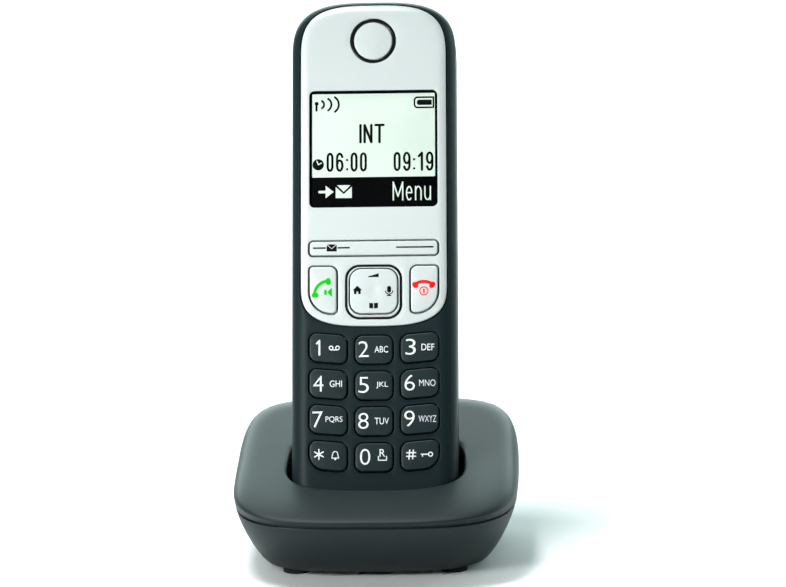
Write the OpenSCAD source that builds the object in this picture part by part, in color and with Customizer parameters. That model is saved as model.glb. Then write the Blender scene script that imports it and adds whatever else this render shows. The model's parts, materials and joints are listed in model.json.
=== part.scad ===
// Cordless telephone handset standing in its charging base.
// Millimetres, +Z up, front towards -Y, floor at Z = 0.
// Handset parts are drawn in the handset's own frame: X across, -Y out of the front face,
// Z along the length from the bottom end. "Depth n" is the distance in front of the parting plane.

/* [Handset] */
// Width across the straight sides
hs_w = 49; // [48.5:0.25:49.5]
// Length from bottom end to top end
hs_l = 156.8; // [156:0.4:157.2]
// Front casing face ahead of the parting plane
hs_front = 10.6; // [10.5:0.05:10.7]
// Back face behind the parting plane
hs_back = 14; // [13.8:0.1:14.2]
// Casing wall thickness
hs_wall = 2; // [1.9:0.05:2.1]
// Lean back from upright in the cradle, degrees
lean = 23; // [23:0.5:23.5]

/* [Keys] */
// Dial key width
dial_w = 11.2; // [11:0.1:11.4]
// Dial key height
dial_h = 8.5; // [8.3:0.1:8.7]
// Height of every key face ahead of the casing face
key_proud = 0.9; // [0.85:0.05:1]
// Gap round a key in its opening
key_gap = 0.3; // [0.25:0.05:0.35]

/* [Base] */
// Overall width at the widest line
base_w = 84.2; // [84:0.1:84.5]
// Overall depth at the widest line
base_d = 90; // [89:0.5:91]
// Height of the gap line between the two base shells
seam_z = 17.6; // [17.4:0.1:17.8]
// Height of the inclined top at the front lip of the slot
lip_z = 25.2; // [25:0.1:25.4]
// Base shell wall thickness
base_wall = 2; // [1.9:0.05:2.1]

/* [Hidden] */

// colours
anthracite = [0.15, 0.2, 0.21];
dark_blue_grey = [0.2, 0.26, 0.28];
silver = [0.84, 0.88, 0.88];
pale_lcd = [0.88, 0.96, 0.94];
black = [0.06, 0.07, 0.08];
steel = [0.72, 0.73, 0.74];
gold = [0.83, 0.68, 0.35];
board_green = [0.12, 0.36, 0.2];
silicone = [0.55, 0.58, 0.6];
cell_green = [0.2, 0.45, 0.3];

// general small sizes
eps = 0.01;
over = 1;
round_fn = 48;
pin_fn = 32;
corner_n = 4;
far = 60;

// placement of the handset in the cradle, and of the whole set about the origin
hs_y = -15;
hs_z = 12.45;
mid_y = 4.85;

// handset casing shape
hs_a = hs_w / 2;
top_b = 19;
top_p = 3.2;
bottom_b = 12;
bottom_p = 3;
front_edge_r = 5.5;
back_edge_r = 9;
edge_p = 2.2;
toe_front = 7.6;
toe_front_rise = 6;
toe_back = 8;
toe_back_rise = 8;
toe_back_n = 10;
slope_end = 28;
crown_rise = 6;
crown_back_rise = 16;
outline_n = 20;
edge_n = 6;

// faceplate and what sits in it
plate_a = 21.6;
plate_lo = 56.4;
plate_top_in = 2.65;
plate_hi = hs_l - plate_top_in;
plate_top_b = 17.5;
plate_lo_b = 13;
plate_lo_p = 3.1;
plate_in = 1;
plate_proud = 0.3;
plate_gap = 0.4;
plate_back_n = 3;
ear_u = 142.9;
ear_r_out = 6.85;
ear_r_in = 5.75;
ear_hole_r = 4.5;
ear_proud = 0.5;
speaker_r = 7;
speaker_deep = 3.6;
win_x = 19;
win_lo = 92.3;
win_hi = 127.7;
win_r = 1.5;
lcd_x = 18.2;
lcd_lo = 95;
lcd_hi = 128.4;
lcd_open_x = 17.8;
lcd_open_lo = 96;
lcd_open_hi = 127.2;
lcd_thick = 2.2;

// function keys, [x0, x1, u0, u1] and corner radii [bottom left, bottom right, top right, top left]
soft_box = [-19, 19, 77.7, 81.9];
soft_r = [1.1, 1.1, 1.1, 1.1];
talk_box = [-19, -11, 60.3, 74.3];
talk_r = [6.5, 1.2, 2, 1];
end_box = [11, 19, 60.3, 74.3];
end_r = [1.2, 6.5, 1, 2];
nav_out_box = [-8.3, 8.3, 58.5, 74.7];
nav_out_r = [4.2, 4.2, 4.2, 4.2];
nav_in_box = [-7.05, 7.05, 60.1, 73.5];
nav_in_r = [3.4, 3.4, 3.4, 3.4];
nav_u = 66.8;
nav_dimple_r = 2.1;
nav_tilt_gap = 0.35;
nav_wall_r = 14;
soft_low_n = 8;
soft_rib_r = 0.9;
soft_rib_n = 7.2;
rib_gap = 0.6;
nav_low_n = 7.9;
nav_pivot_n = 7;
nav_arm = 4.4;
nav_arm_w = 1.6;
nav_rib_r = 0.7;
nav_rib_gap = 0.05;

// dial keys
dial_x = 13.5;
dial_pitch = 10.72;
dial_u_low = 17.05;
dial_side_up = 0.55;
dial_slant = 0.087;
dial_r = 2.4;
dial_big_r = 4.4;
flange = 0.6;
flange_top_gap = 0.5;
flange_thick = 1;
plunger_r = 2;
plunger_len = 0.25;

// handset inside
board_front = 5;
board_thick = 1.6;
board_x = 20;
board_lo = 9;
board_hi = 140;
board_r = 3;
mat_thick = 0.8;
mat_x = 20;
mat_lo = 11;
mat_hi = 84;
mat_window = 10.4;
boss_x = 18.6;
boss_u = 88;
boss_r = 2.2;
boss_hole_r = 1;
screw_head_r = 1.9;
screw_head_h = 0.8;
screw_sunk = 0.4;
screw_r = 0.95;
screw_end_n = 3;
mic_x = 0;
mic_u = 8.6;
mic_hole_r = 0.6;
mic_r = 2.2;
mic_h = 2.4;
grille_x = [-6, -3, 0, 3, 6];
grille_u = 122;
grille_r = 0.9;
ringer_u = 122;
ringer_r = 8.5;
ringer_h = 4;
shield_x = 14;
shield_lo = 96;
shield_hi = 122;
shield_thick = 2.6;
antenna_x = 13;
antenna_lo = 127;
antenna_hi = 133;
antenna_thick = 0.8;
antenna_track = 2;

// battery bay
bay_x = 16.2;
bay_wall = 1.2;
bay_lo = 31;
bay_hi = 81;
bay_floor_n = -0.9;
door_ledge = 1.2;
door_gap = 0.15;
door_thick = 1.5;
cell_r = 5.2;
cell_len = 43.6;
cell_x = 5.6;
cell_n = -6.3;
cell_lo = 33.4;
nub_r = 1.9;
nub_len = 0.8;
strip_thick = 0.5;
strip_w = 8;

// charging pads and spring pins
pad_x = 6;
pad_n = 0.5;
pad_w = 4;
pad_d = 3.6;
pad_thick = 0.6;
pin_r = 1.2;
pin_bore_r = 1.26;
pin_top_u = -0.06;
pin_foot_r = 2;
pin_foot_top = -2.15;
pin_foot_low = -3.4;

// base form
base_a = base_w / 2;
base_b = base_d / 2;
plan_p = 3.5;
crown_p = 5;
ring_n = 56;
seam_gap = 0.5;
seam_in = 0.45;
top_slope = 0.205;
lip_y = -23;
dome_in_side = 8.4;
dome_in_front = 16;
dome_p = 2.95;
dome_steps = 6;
belly_h = 0.27;
tongue_in = 1;
tongue_h = 1.4;
tongue_gap = 0.15;
foot_a = 34;
foot_b = 33.1;
floor_z = 1.5;
bowl_p = 1.23;
bowl_steps = 5;

// slot and cradle insert
slot_a = 26.1;
slot_front_n = 14.4;
slot_back_n = 15.6;
slot_front_b = 13.4;
slot_back_b = 12.6;
slot_front_p = 2.9;
slot_back_p = 3.3;
insert_wall = 1.4;
insert_floor_u = -0.6;
insert_floor_z = 10.1;
insert_top_drop = 0.4;
slot_top_u = 60;

// base inside
base_board_x = 18;
base_board_y0 = 6;
base_board_y1 = 28;
base_board_z = 6.5;
base_shield_x = -14;
base_shield_y = 9;
base_shield_size = [18, 12, 3];
base_antenna_x = 7;
base_antenna_y = 14;
base_antenna_w = 9;
base_antenna_h = 16;
jack_w = 12;
jack_h = 8.5;
jack_y0 = 24.5;
jack_y1 = 38.2;
jack_x = 9.5;
jack_gap = 0.2;
line_sock_w = 9.7;
line_sock_h = 6.4;
power_sock_w = 7.8;
power_sock_h = 6;
sock_deep = 11;
latch_w = 3.4;
latch_h = 1.2;
base_screw_x = 22;
base_screw_y = 24;
base_boss_r = 3;
base_boss_z0 = 6.4;
base_boss_z1 = 33.6;
base_screw_head_r = 2.6;
base_screw_head_h = 1;
base_screw_r = 1.4;
base_screw_bore_r = 1.45;
base_screw_end_z = 16;
feet_x = 23;
feet_y = 25;
feet_r = 4.1;
page_w = 9.3;
page_d = 4.6;
page_y = -27.4;
page_z = 0.2;
page_gap = 0.25;
page_flange = 0.6;
page_flange_h = 0.8;
page_travel = 1;
page_switch_w = 6;
page_switch_h = 3;

// ---------- point lists ----------
function spow(v, p) = sign(v) * pow(abs(v), p);
function se_arc(a, b, p, t0, t1, n) = [for (i = [0:n])
  let (t = t0 + (t1 - t0) * i / n) [a * spow(cos(t), 2 / p), b * spow(sin(t), 2 / p)]];
function moved(pts, v) = [for (q = pts) q + v];
function corner(cx, cy, r, t0) = [for (i = [0:corner_n])
  let (t = t0 + 90 * i / corner_n) [cx + r * cos(t), cy + r * sin(t)]];
function round_box(b, r, g = 0) = concat(
  corner(b[1] - r[1], b[2] + r[1], r[1] + g, -90),
  corner(b[1] - r[2], b[3] - r[2], r[2] + g, 0),
  corner(b[0] + r[3], b[3] - r[3], r[3] + g, 90),
  corner(b[0] + r[0], b[2] + r[0], r[0] + g, 180));
function slanted(pts, k, x0) = [for (q = pts) [q[0], q[1] + k * (abs(q[0]) - x0)]];

// handset front outline, drawn g inside the surface
function hs_outline(g) = concat(
  moved(se_arc(hs_a - g, top_b - g, top_p, 0, 180, outline_n), [0, hs_l - top_b]),
  moved(se_arc(hs_a - g, bottom_b - g, bottom_p, 180, 360, outline_n), [0, bottom_b]));
// handset cross-section, front towards -Y
function hs_section(g) =
  let (a = hs_a - g, f = -(hs_front - g), k = hs_back - g, rf = front_edge_r - g / 2, rb = back_edge_r - g / 2)
  concat(
    moved(se_arc(rf, rf, edge_p, 270, 360, edge_n), [a - rf, f + rf]),
    moved(se_arc(rb, rb, edge_p, 0, 90, edge_n), [a - rb, k - rb]),
    moved(se_arc(rb, rb, edge_p, 90, 180, edge_n), [rb - a, k - rb]),
    moved(se_arc(rf, rf, edge_p, 180, 270, edge_n), [rf - a, f + rf]));
// handset side profile in Y and Z
function hs_profile(g) =
  let (f = hs_front - g, k = hs_back - g, kt = toe_back_n - g)
  concat(
    moved(se_arc(toe_front, toe_front_rise - g, edge_p, 180, 270, edge_n), [toe_front - f, toe_front_rise]),
    moved(se_arc(toe_back, toe_back_rise - g, edge_p, 270, 360, edge_n), [kt - toe_back, toe_back_rise]),
    [[k, slope_end]],
    moved(se_arc(k, crown_back_rise - g, edge_p, 0, 90, edge_n), [0, hs_l - crown_back_rise]),
    moved(se_arc(f, crown_rise - g, edge_p, 90, 180, edge_n), [0, hs_l - crown_rise]));
// faceplate outline, g smaller all round
function plate_outline(g) = concat(
  moved(se_arc(plate_a - g, plate_top_b - g, top_p, 0, 180, outline_n), [0, plate_hi - plate_top_b]),
  moved(se_arc(plate_a - g, plate_lo_b - g, plate_lo_p, 180, 360, outline_n), [0, plate_lo + plate_lo_b]));
// cradle slot across the lean, g larger all round, front towards -Y
function slot_outline(g) = concat(
  moved(se_arc(slot_a + g, slot_back_b + g, slot_back_p, 0, 180, outline_n), [0, slot_back_n - slot_back_b]),
  moved(se_arc(slot_a + g, slot_front_b + g, slot_front_p, 180, 360, outline_n), [0, slot_front_b - slot_front_n]));

// ring of the base at inset g, its height given by a share h of the way from z0 to the inclined top
function top_z(y) = lip_z + top_slope * (y - lip_y);
function base_ring(gx, gy, p = plan_p) = [for (i = [0:ring_n - 1])
  let (t = 360 * (i + 0.5) / ring_n)
  [(base_a - gx) * spow(cos(t), 2 / p), (base_b - gy) * spow(sin(t), 2 / p)]];
function level(pts, z) = [for (q = pts) [q[0], q[1], z]];
function risen(pts, z0, h, g) = [for (q = pts) [q[0], q[1], z0 + h * (top_z(q[1]) - g - z0)]];
function dome_in(k) = 1 - pow(cos(90 * k), 2 / dome_p);
function dome_up(k) = pow(sin(90 * k), 2 / dome_p);
function dome_rings(g, z0) = [for (i = [0:dome_steps])
  let (k = i / dome_steps, u = dome_up(k), s = belly_h + (1 - belly_h) * u,
    gx = g + (dome_in_side - g / 2) * dome_in(k), gy = g + (dome_in_front - g) * dome_in(k))
  risen(base_ring(gx, gy, plan_p + (crown_p - plan_p) * u), z0, s, g)];
function bowl_rings(g) = [for (i = [0:bowl_steps])
  let (k = i / bowl_steps,
    d = 1 - pow(sin(90 * k), 2 / bowl_p),
    h = 1 - pow(cos(90 * k), 2 / bowl_p),
    z = floor_z + g + (seam_z - floor_z - g) * h)
  level(base_ring(seam_in + g + (base_a - foot_a) * d, seam_in + g + (base_b - foot_b) * d), z)];
function back_to_front(v) = [for (i = [len(v) - 1:-1:0]) v[i]];

// ---------- building blocks ----------
// closed skin through a list of rings, with a flat cap at each end
module ring_skin(rings) {
  n = len(rings[0]);
  m = len(rings);
  pts = [for (r = rings) for (q = r) q];
  sides = [for (i = [0:m - 2]) for (j = [0:n - 1])
    let (k = (j + 1) % n)
    each [[i * n + j, (i + 1) * n + j, (i + 1) * n + k], [i * n + j, (i + 1) * n + k, i * n + k]]];
  first = [[for (j = [0:n - 1]) j]];
  last = [[for (j = [n - 1:-1:0]) (m - 1) * n + j]];
  polyhedron(points = pts, faces = concat(sides, first, last), convexity = 8);
}

module placed() {
  translate([0, -mid_y, 0])
    children();
}

module in_handset() {
  placed()
    translate([0, hs_y, hs_z])
      rotate([-lean, 0, 0])
        children();
}

// a flat shape in X and Z, thickened from depth n0 out to depth n1
module forward(n0, n1) {
  translate([0, -n0, 0])
    rotate([90, 0, 0])
      linear_extrude(n1 - n0)
        children();
}

// a round pin along the press direction at x and u
module round_forward(x, u, r, n0, n1, fn = pin_fn) {
  translate([x, -n0, u])
    rotate([90, 0, 0])
      cylinder(h = n1 - n0, r = r, $fn = fn);
}

module hs_block(g) {
  intersection() {
    forward(-far, far)
      polygon(hs_outline(g));
    rotate([90, 0, 90])
      linear_extrude(hs_w + 2 * over, center = true)
        polygon(hs_profile(g));
    translate([0, 0, -over])
      linear_extrude(hs_l + 2 * over)
        polygon(hs_section(g));
  }
}

module front_half() {
  translate([-hs_w, -far, -far])
    cube([2 * hs_w, far, hs_l + 2 * far]);
}

module rear_half() {
  translate([-hs_w, 0, -far])
    cube([2 * hs_w, far, hs_l + 2 * far]);
}

function dial_col(i) = (i % 3 - 1) * dial_x;
function dial_row(i) = dial_u_low + (3 - floor(i / 3)) * dial_pitch;
function dial_box(i) = [dial_col(i) - dial_w / 2, dial_col(i) + dial_w / 2,
  dial_row(i) - dial_h / 2, dial_row(i) + dial_h / 2];
function dial_radii(i) = i == 9 ? [dial_big_r, dial_r, dial_r, dial_r]
  : i == 11 ? [dial_r, dial_big_r, dial_r, dial_r] : [dial_r, dial_r, dial_r, dial_r];
function dial_pts(i, g) =
  let (pts = round_box(dial_box(i), dial_radii(i), g))
  i % 3 == 1 ? pts : slanted(moved(pts, [0, dial_side_up]), dial_slant, dial_x);

// cap through the casing, retaining flange behind it and plunger over the key mat
module push_key(cap, wide, x, u) {
  flange_top = hs_front - hs_wall - flange_top_gap;
  flange_low = flange_top - flange_thick;
  forward(flange_low, hs_front + key_proud)
    polygon(cap);
  forward(flange_low, flange_top)
    polygon(wide);
  round_forward(x, u, plunger_r, flange_low - plunger_len, flange_low + eps);
}

module dial_key(i) {
  color(dark_blue_grey)
    in_handset()
      push_key(dial_pts(i, 0), dial_pts(i, flange), dial_col(i), dial_row(i));
}

module handset_screw_axes(r, n0, n1) {
  for (s = [-1, 1])
    round_forward(s * boss_x, boss_u, r, n0, n1);
}

module pad_shape(g, u0, u1) {
  for (s = [-1, 1])
    translate([s * pad_x - pad_w / 2 - g, -pad_n - pad_d / 2 - g, u0])
      cube([pad_w + 2 * g, pad_d + 2 * g, u1 - u0]);
}

// ---------- handset casing ----------
module handset_front_shell() {
  color(anthracite)
    in_handset() {
      difference() {
        intersection() {
          hs_block(0);
          front_half();
        }
        hs_block(hs_wall);
        difference() {
          forward(plate_back_n, far)
            polygon(plate_outline(-plate_gap));
          hs_block(plate_in);
        }
        for (i = [0:11])
          forward(0, far)
            polygon(dial_pts(i, key_gap));
        forward(0, far)
          polygon(round_box(soft_box, soft_r, key_gap));
        forward(0, far)
          polygon(round_box(talk_box, talk_r, key_gap));
        forward(0, far)
          polygon(round_box(end_box, end_r, key_gap));
        forward(0, far)
          polygon(round_box(nav_in_box, nav_in_r, nav_tilt_gap));
        forward(0, far)
          polygon(round_box([-lcd_open_x, lcd_open_x, lcd_open_lo, lcd_open_hi], soft_r));
        round_forward(0, ear_u, ear_hole_r, 0, far);
        pad_shape(0, -over, pad_thick);
        mic_hole();
      }
      difference() {
        handset_screw_axes(boss_r, 0, hs_front - plate_in - hs_wall / 4);
        handset_screw_axes(boss_hole_r, -over, screw_end_n + 2 * over);
      }
    }
}

module mic_hole() {
  round_forward(mic_x, mic_u, mic_hole_r, 0, far);
}

module bay_block(g, lo_n) {
  translate([-bay_x - g, -bay_floor_n - g / 2, bay_lo - g])
    cube([2 * (bay_x + g), lo_n, bay_hi - bay_lo + 2 * g]);
}

module door_opening(g) {
  translate([-bay_x - door_ledge + g, hs_back - door_thick + g, bay_lo - door_ledge + g])
    cube([2 * (bay_x + door_ledge - g), 2 * door_thick, bay_hi - bay_lo + 2 * (door_ledge - g)]);
}

module handset_rear_shell() {
  color(anthracite)
    in_handset()
      difference() {
        union() {
          difference() {
            intersection() {
              hs_block(0);
              rear_half();
            }
            hs_block(hs_wall);
          }
          intersection() {
            bay_block(bay_wall, hs_back);
            hs_block(hs_wall / 2);
          }
        }
        bay_block(0, far);
        door_opening(0);
        pad_shape(0, -over, pad_thick);
        for (x = grille_x)
          round_forward(x, grille_u, grille_r, -far, -hs_back + hs_wall + over, pin_fn);
        handset_screw_axes(screw_head_r + key_gap, -far, -hs_back + screw_sunk + screw_head_h);
        handset_screw_axes(screw_r + eps, -far, 0);
      }
}

module faceplate() {
  color(silver)
    in_handset()
      difference() {
        intersection() {
          hs_block(-plate_proud);
          forward(plate_back_n + over, far)
            polygon(plate_outline(0));
        }
        hs_block(plate_in);
        round_forward(0, ear_u, ear_r_out + eps, 0, far, round_fn);
        forward(0, far)
          polygon(round_box([-win_x, win_x, win_lo, win_hi], [win_r, win_r, win_r, win_r], eps));
        forward(0, far)
          polygon(round_box(soft_box, soft_r, key_gap));
        forward(0, far)
          polygon(round_box(talk_box, talk_r, key_gap));
        forward(0, far)
          polygon(round_box(end_box, end_r, key_gap));
        forward(0, far)
          polygon(round_box(nav_out_box, nav_out_r, eps));
      }
}

module display_window() {
  color(pale_lcd)
    in_handset()
      forward(hs_front - plate_in, hs_front + plate_proud)
        polygon(round_box([-win_x, win_x, win_lo, win_hi], [win_r, win_r, win_r, win_r]));
}

module lcd_module() {
  color(steel)
    in_handset()
      forward(hs_front - hs_wall - lcd_thick - eps, hs_front - hs_wall - eps)
        polygon(round_box([-lcd_x, lcd_x, lcd_lo, lcd_hi], soft_r));
}

module earpiece_ring() {
  color(black)
    in_handset()
      difference() {
        round_forward(0, ear_u, ear_r_out, hs_front - plate_in, hs_front + plate_proud, round_fn);
        round_forward(0, ear_u, ear_r_in, 0, far, round_fn);
      }
}

module earpiece_cap() {
  color(silver)
    in_handset()
      round_forward(0, ear_u, ear_r_in, hs_front - plate_in, hs_front + ear_proud, round_fn);
}

module earpiece_speaker() {
  color(steel)
    in_handset()
      round_forward(0, ear_u - over, speaker_r, hs_front - hs_wall - speaker_deep,
        hs_front - hs_wall - eps, round_fn);
}

// ---------- handset inside ----------
module handset_board() {
  color(board_green)
    in_handset()
      difference() {
        forward(board_front - board_thick, board_front)
          polygon(round_box([-board_x, board_x, board_lo, board_hi], [board_r, board_r, board_r, board_r]));
        handset_screw_axes(boss_r + key_gap, 0, far);
        round_forward(0, ear_u - over, speaker_r + key_gap, 0, far, round_fn);
      }
}

module keymat() {
  color(silicone)
    in_handset()
      difference() {
        forward(board_front, board_front + mat_thick)
          polygon(round_box([-mat_x, mat_x, mat_lo, mat_hi], [board_r, board_r, board_r, board_r]));
        forward(0, far)
          square_at(0, nav_u, mat_window, mat_window);
      }
}

module handset_rf_shield() {
  color(steel)
    in_handset()
      forward(board_front - board_thick - shield_thick, board_front - board_thick)
        polygon(round_box([-shield_x, shield_x, shield_lo, shield_hi], soft_r));
}

module handset_antenna() {
  color(gold)
    in_handset()
      difference() {
        forward(board_front - board_thick - antenna_thick, board_front - board_thick)
          polygon(round_box([-antenna_x, antenna_x, antenna_lo, antenna_hi], soft_r));
        forward(0, far)
          polygon(round_box([-antenna_x + antenna_track, antenna_x + over,
            antenna_lo + antenna_track, antenna_hi - antenna_track], soft_r / 2));
      }
}

module microphone() {
  color(steel)
    in_handset()
      round_forward(mic_x, mic_u, mic_r, hs_front - hs_wall - mic_h, hs_front - hs_wall - eps);
}

module ringer_speaker() {
  color(steel)
    in_handset()
      round_forward(0, ringer_u, ringer_r, -hs_back + hs_wall + eps, -hs_back + hs_wall + ringer_h, round_fn);
}

module cell(s) {
  color(cell_green)
    in_handset()
      translate([s * cell_x, -cell_n, cell_lo]) {
        cylinder(h = cell_len, r = cell_r, $fn = round_fn);
        translate([0, 0, s > 0 ? cell_len : -nub_len])
          cylinder(h = nub_len, r = nub_r, $fn = pin_fn);
      }
}

module battery_cell_left() {
  cell(-1);
}

module battery_cell_right() {
  cell(1);
}

module battery_contacts() {
  lows = cell_lo - nub_len - strip_thick;
  highs = cell_lo + cell_len + nub_len;
  color(steel)
    in_handset()
      for (u = [lows, highs])
        for (s = [-1, 1])
          translate([s * cell_x - strip_w / 2, -cell_n - strip_w / 2, u])
            cube([strip_w, strip_w, strip_thick]);
}

module battery_door() {
  color(anthracite)
    in_handset()
      intersection() {
        hs_block(0);
        door_opening(door_gap);
      }
}

module handset_charge_pads() {
  color(gold)
    in_handset()
      pad_shape(-eps, 0, pad_thick);
}

module handset_screws() {
  head_n = -hs_back + screw_sunk;
  color(steel)
    in_handset() {
      handset_screw_axes(screw_head_r, head_n, head_n + screw_head_h);
      handset_screw_axes(screw_r, head_n + screw_head_h, screw_end_n);
    }
}

// ---------- function keys ----------
module softkey_bar() {
  color(silver)
    in_handset() {
      forward(soft_low_n, hs_front + plate_proud + key_proud / 2)
        polygon(round_box(soft_box, soft_r));
      translate([0, -soft_rib_n, soft_box[2] + rib_gap])
        cylinder(h = soft_box[3] - soft_box[2] - 2 * rib_gap, r = soft_rib_r, $fn = pin_fn);
      forward(soft_rib_n, soft_low_n + eps)
        polygon(round_box([-soft_rib_r, soft_rib_r, soft_box[2] + rib_gap, soft_box[3] - rib_gap], soft_r / 4));
    }
}

module talk_key() {
  color(silver)
    in_handset()
      push_key(round_box(talk_box, talk_r), round_box(talk_box, talk_r, flange),
        (talk_box[0] + talk_box[1]) / 2, (talk_box[2] + talk_box[3]) / 2);
}

module end_key() {
  color(silver)
    in_handset()
      push_key(round_box(end_box, end_r), round_box(end_box, end_r, flange),
        (end_box[0] + end_box[1]) / 2, (end_box[2] + end_box[3]) / 2);
}

module nav_bezel() {
  color(silver)
    in_handset()
      difference() {
        forward(hs_front - plate_in, hs_front + plate_proud)
          polygon(round_box(nav_out_box, nav_out_r));
        forward(0, far)
          polygon(round_box(nav_in_box, nav_in_r, nav_tilt_gap));
      }
}

module nav_pivot() {
  plate_low = nav_pivot_n - nav_rib_r - 2 * nav_rib_gap - nav_arm_w / 4;
  color(black)
    in_handset() {
      translate([-nav_arm, -plate_low, nav_u])
        rotate([0, 90, 0])
          cylinder(h = 2 * nav_arm, r = nav_arm_w / 4, $fn = pin_fn);
      forward(plate_low - nav_arm_w / 8, plate_low + nav_arm_w / 4)
        square_at(0, nav_u, nav_arm_w, 2 * nav_arm);
    }
}

module square_at(x, u, w, h) {
  translate([x - w / 2, u - h / 2])
    square([w, h]);
}

module nav_key() {
  color(silver)
    in_handset()
      difference() {
        union() {
          forward(nav_low_n, hs_front + plate_proud + key_proud)
            polygon(round_box(nav_in_box, nav_in_r));
          translate([0, -nav_pivot_n, nav_u - nav_arm])
            cylinder(h = 2 * nav_arm, r = nav_rib_r, $fn = pin_fn);
          forward(nav_pivot_n, nav_low_n + eps)
            square_at(0, nav_u, nav_rib_r, 2 * nav_arm);
        }
        translate([0, -hs_front - plate_proud - key_proud - nav_wall_r + nav_dimple_r / 4, nav_u])
          sphere(r = nav_wall_r, $fn = round_fn);
      }
}

module key_1() { dial_key(0); }
module key_2() { dial_key(1); }
module key_3() { dial_key(2); }
module key_4() { dial_key(3); }
module key_5() { dial_key(4); }
module key_6() { dial_key(5); }
module key_7() { dial_key(6); }
module key_8() { dial_key(7); }
module key_9() { dial_key(8); }
module key_star() { dial_key(9); }
module key_0() { dial_key(10); }
module key_hash() { dial_key(11); }

// ---------- base ----------
module slot_prism(g, u0) {
  translate([0, hs_y, hs_z])
    rotate([-lean, 0, 0])
      translate([0, 0, u0])
        linear_extrude(slot_top_u)
          polygon(slot_outline(g));
}

module above(z) {
  translate([-far, -far, z])
    cube([2 * far, 2 * far, 2 * far]);
}

module under_top(g) {
  translate([0, lip_y, lip_z - g])
    rotate([atan(top_slope), 0, 0])
      translate([-far, -far, -far])
        cube([2 * far, 2 * far, far]);
}

module base_bosses() {
  for (s = [-1, 1])
    translate([s * base_screw_x, base_screw_y, 0])
      difference() {
        translate([0, 0, base_boss_z0])
          cylinder(h = base_boss_z1 - base_boss_z0, r = base_boss_r, $fn = pin_fn);
        cylinder(h = base_screw_end_z + over, r = base_screw_bore_r, $fn = pin_fn);
      }
}

module base_top_shell() {
  lip_low = seam_z + seam_gap;
  step_z = seam_z + tongue_h + seam_gap;
  thin = tongue_in - tongue_gap;
  inner = dome_rings(base_wall, step_z);
  outer = dome_rings(0, lip_low);
  joint = [level(base_ring(base_wall + tongue_gap, base_wall + tongue_gap), step_z),
    level(base_ring(thin, thin), step_z),
    level(base_ring(thin, thin), lip_low),
    level(base_ring(seam_in, seam_in), lip_low)];
  color(anthracite)
    placed()
      union() {
        difference() {
          ring_skin(concat(back_to_front(inner), joint, outer));
          slot_prism(insert_wall, insert_floor_u);
        }
        base_bosses();
      }
}

module jack_cut(s) {
  translate([s * jack_x - jack_w / 2 - jack_gap, jack_y0, base_board_z + board_thick - jack_gap])
    cube([jack_w + 2 * jack_gap, base_d, jack_h + 2 * jack_gap]);
}

module page_shape(g, z0, z1) {
  translate([-page_w / 2 - g, page_y - page_d / 2 - g, z0])
    cube([page_w + 2 * g, page_d + 2 * g, z1 - z0]);
}

module base_bottom_shell() {
  tongue_top = seam_z + tongue_h;
  joint = [level(base_ring(tongue_in, tongue_in), seam_z),
    level(base_ring(tongue_in, tongue_in), tongue_top),
    level(base_ring(base_wall, base_wall), tongue_top)];
  color(anthracite)
    placed()
      difference() {
        ring_skin(concat(bowl_rings(0), joint, back_to_front(bowl_rings(base_wall))));
        jack_cut(-1);
        jack_cut(1);
        page_shape(page_gap, 0, floor_z + base_wall + over);
        for (s = [-1, 1])
          translate([s * base_screw_x, base_screw_y, 0]) {
            cylinder(h = floor_z + base_screw_head_h, r = base_screw_head_r + key_gap, $fn = pin_fn);
            cylinder(h = base_boss_z0, r = base_screw_bore_r, $fn = pin_fn);
          }
      }
}

module cradle_insert() {
  color(black)
    placed()
      difference() {
        intersection() {
          slot_prism(insert_wall - eps, insert_floor_u - insert_wall);
          above(insert_floor_z - insert_wall);
          under_top(insert_top_drop);
        }
        intersection() {
          slot_prism(0, insert_floor_u);
          above(insert_floor_z);
        }
        for (s = [-1, 1])
          contact_pin_shape(s, pin_bore_r, -far / 2, far / 2);
      }
}

module contact_pin_shape(s, r, u0, u1) {
  translate([0, hs_y, hs_z])
    rotate([-lean, 0, 0])
      translate([s * pad_x, -pad_n, u0])
        cylinder(h = u1 - u0, r = r, $fn = pin_fn);
}

module charge_contact(s) {
  color(gold)
    placed() {
      contact_pin_shape(s, pin_r, pin_foot_low, pin_top_u);
      contact_pin_shape(s, pin_foot_r, pin_foot_low, pin_foot_top);
    }
}

module charge_contact_left() {
  charge_contact(-1);
}

module charge_contact_right() {
  charge_contact(1);
}

module base_board() {
  color(board_green)
    placed()
      translate([-base_board_x, base_board_y0, base_board_z])
        cube([2 * base_board_x, base_board_y1 - base_board_y0, board_thick]);
}

module base_rf_shield() {
  color(steel)
    placed()
      translate([base_shield_x, base_shield_y, base_board_z + board_thick])
        cube(base_shield_size);
}

module base_antenna() {
  color(gold)
    placed()
      translate([base_antenna_x, base_antenna_y, base_board_z + board_thick])
        cube([base_antenna_w, antenna_thick, base_antenna_h]);
}

module jack(s, w, h) {
  sock_z = base_board_z + board_thick + (jack_h - h) / 2;
  difference() {
    translate([s * jack_x - jack_w / 2, jack_y0, base_board_z + board_thick])
      cube([jack_w, jack_y1 - jack_y0, jack_h]);
    translate([s * jack_x - w / 2, jack_y1 - sock_deep, sock_z])
      cube([w, sock_deep + over, h]);
    translate([s * jack_x - latch_w / 2, jack_y1 - sock_deep, sock_z - latch_h / 2])
      cube([latch_w, sock_deep + over, latch_h]);
  }
}

module line_jack() {
  color(black)
    placed()
      jack(-1, line_sock_w, line_sock_h);
}

module power_jack() {
  color(black)
    placed()
      jack(1, power_sock_w, power_sock_h);
}

module paging_key() {
  flange_z = floor_z + base_wall + eps;
  color(black)
    placed() {
      page_shape(0, page_z, flange_z + page_flange_h);
      page_shape(page_flange, flange_z, flange_z + page_flange_h);
    }
}

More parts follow.
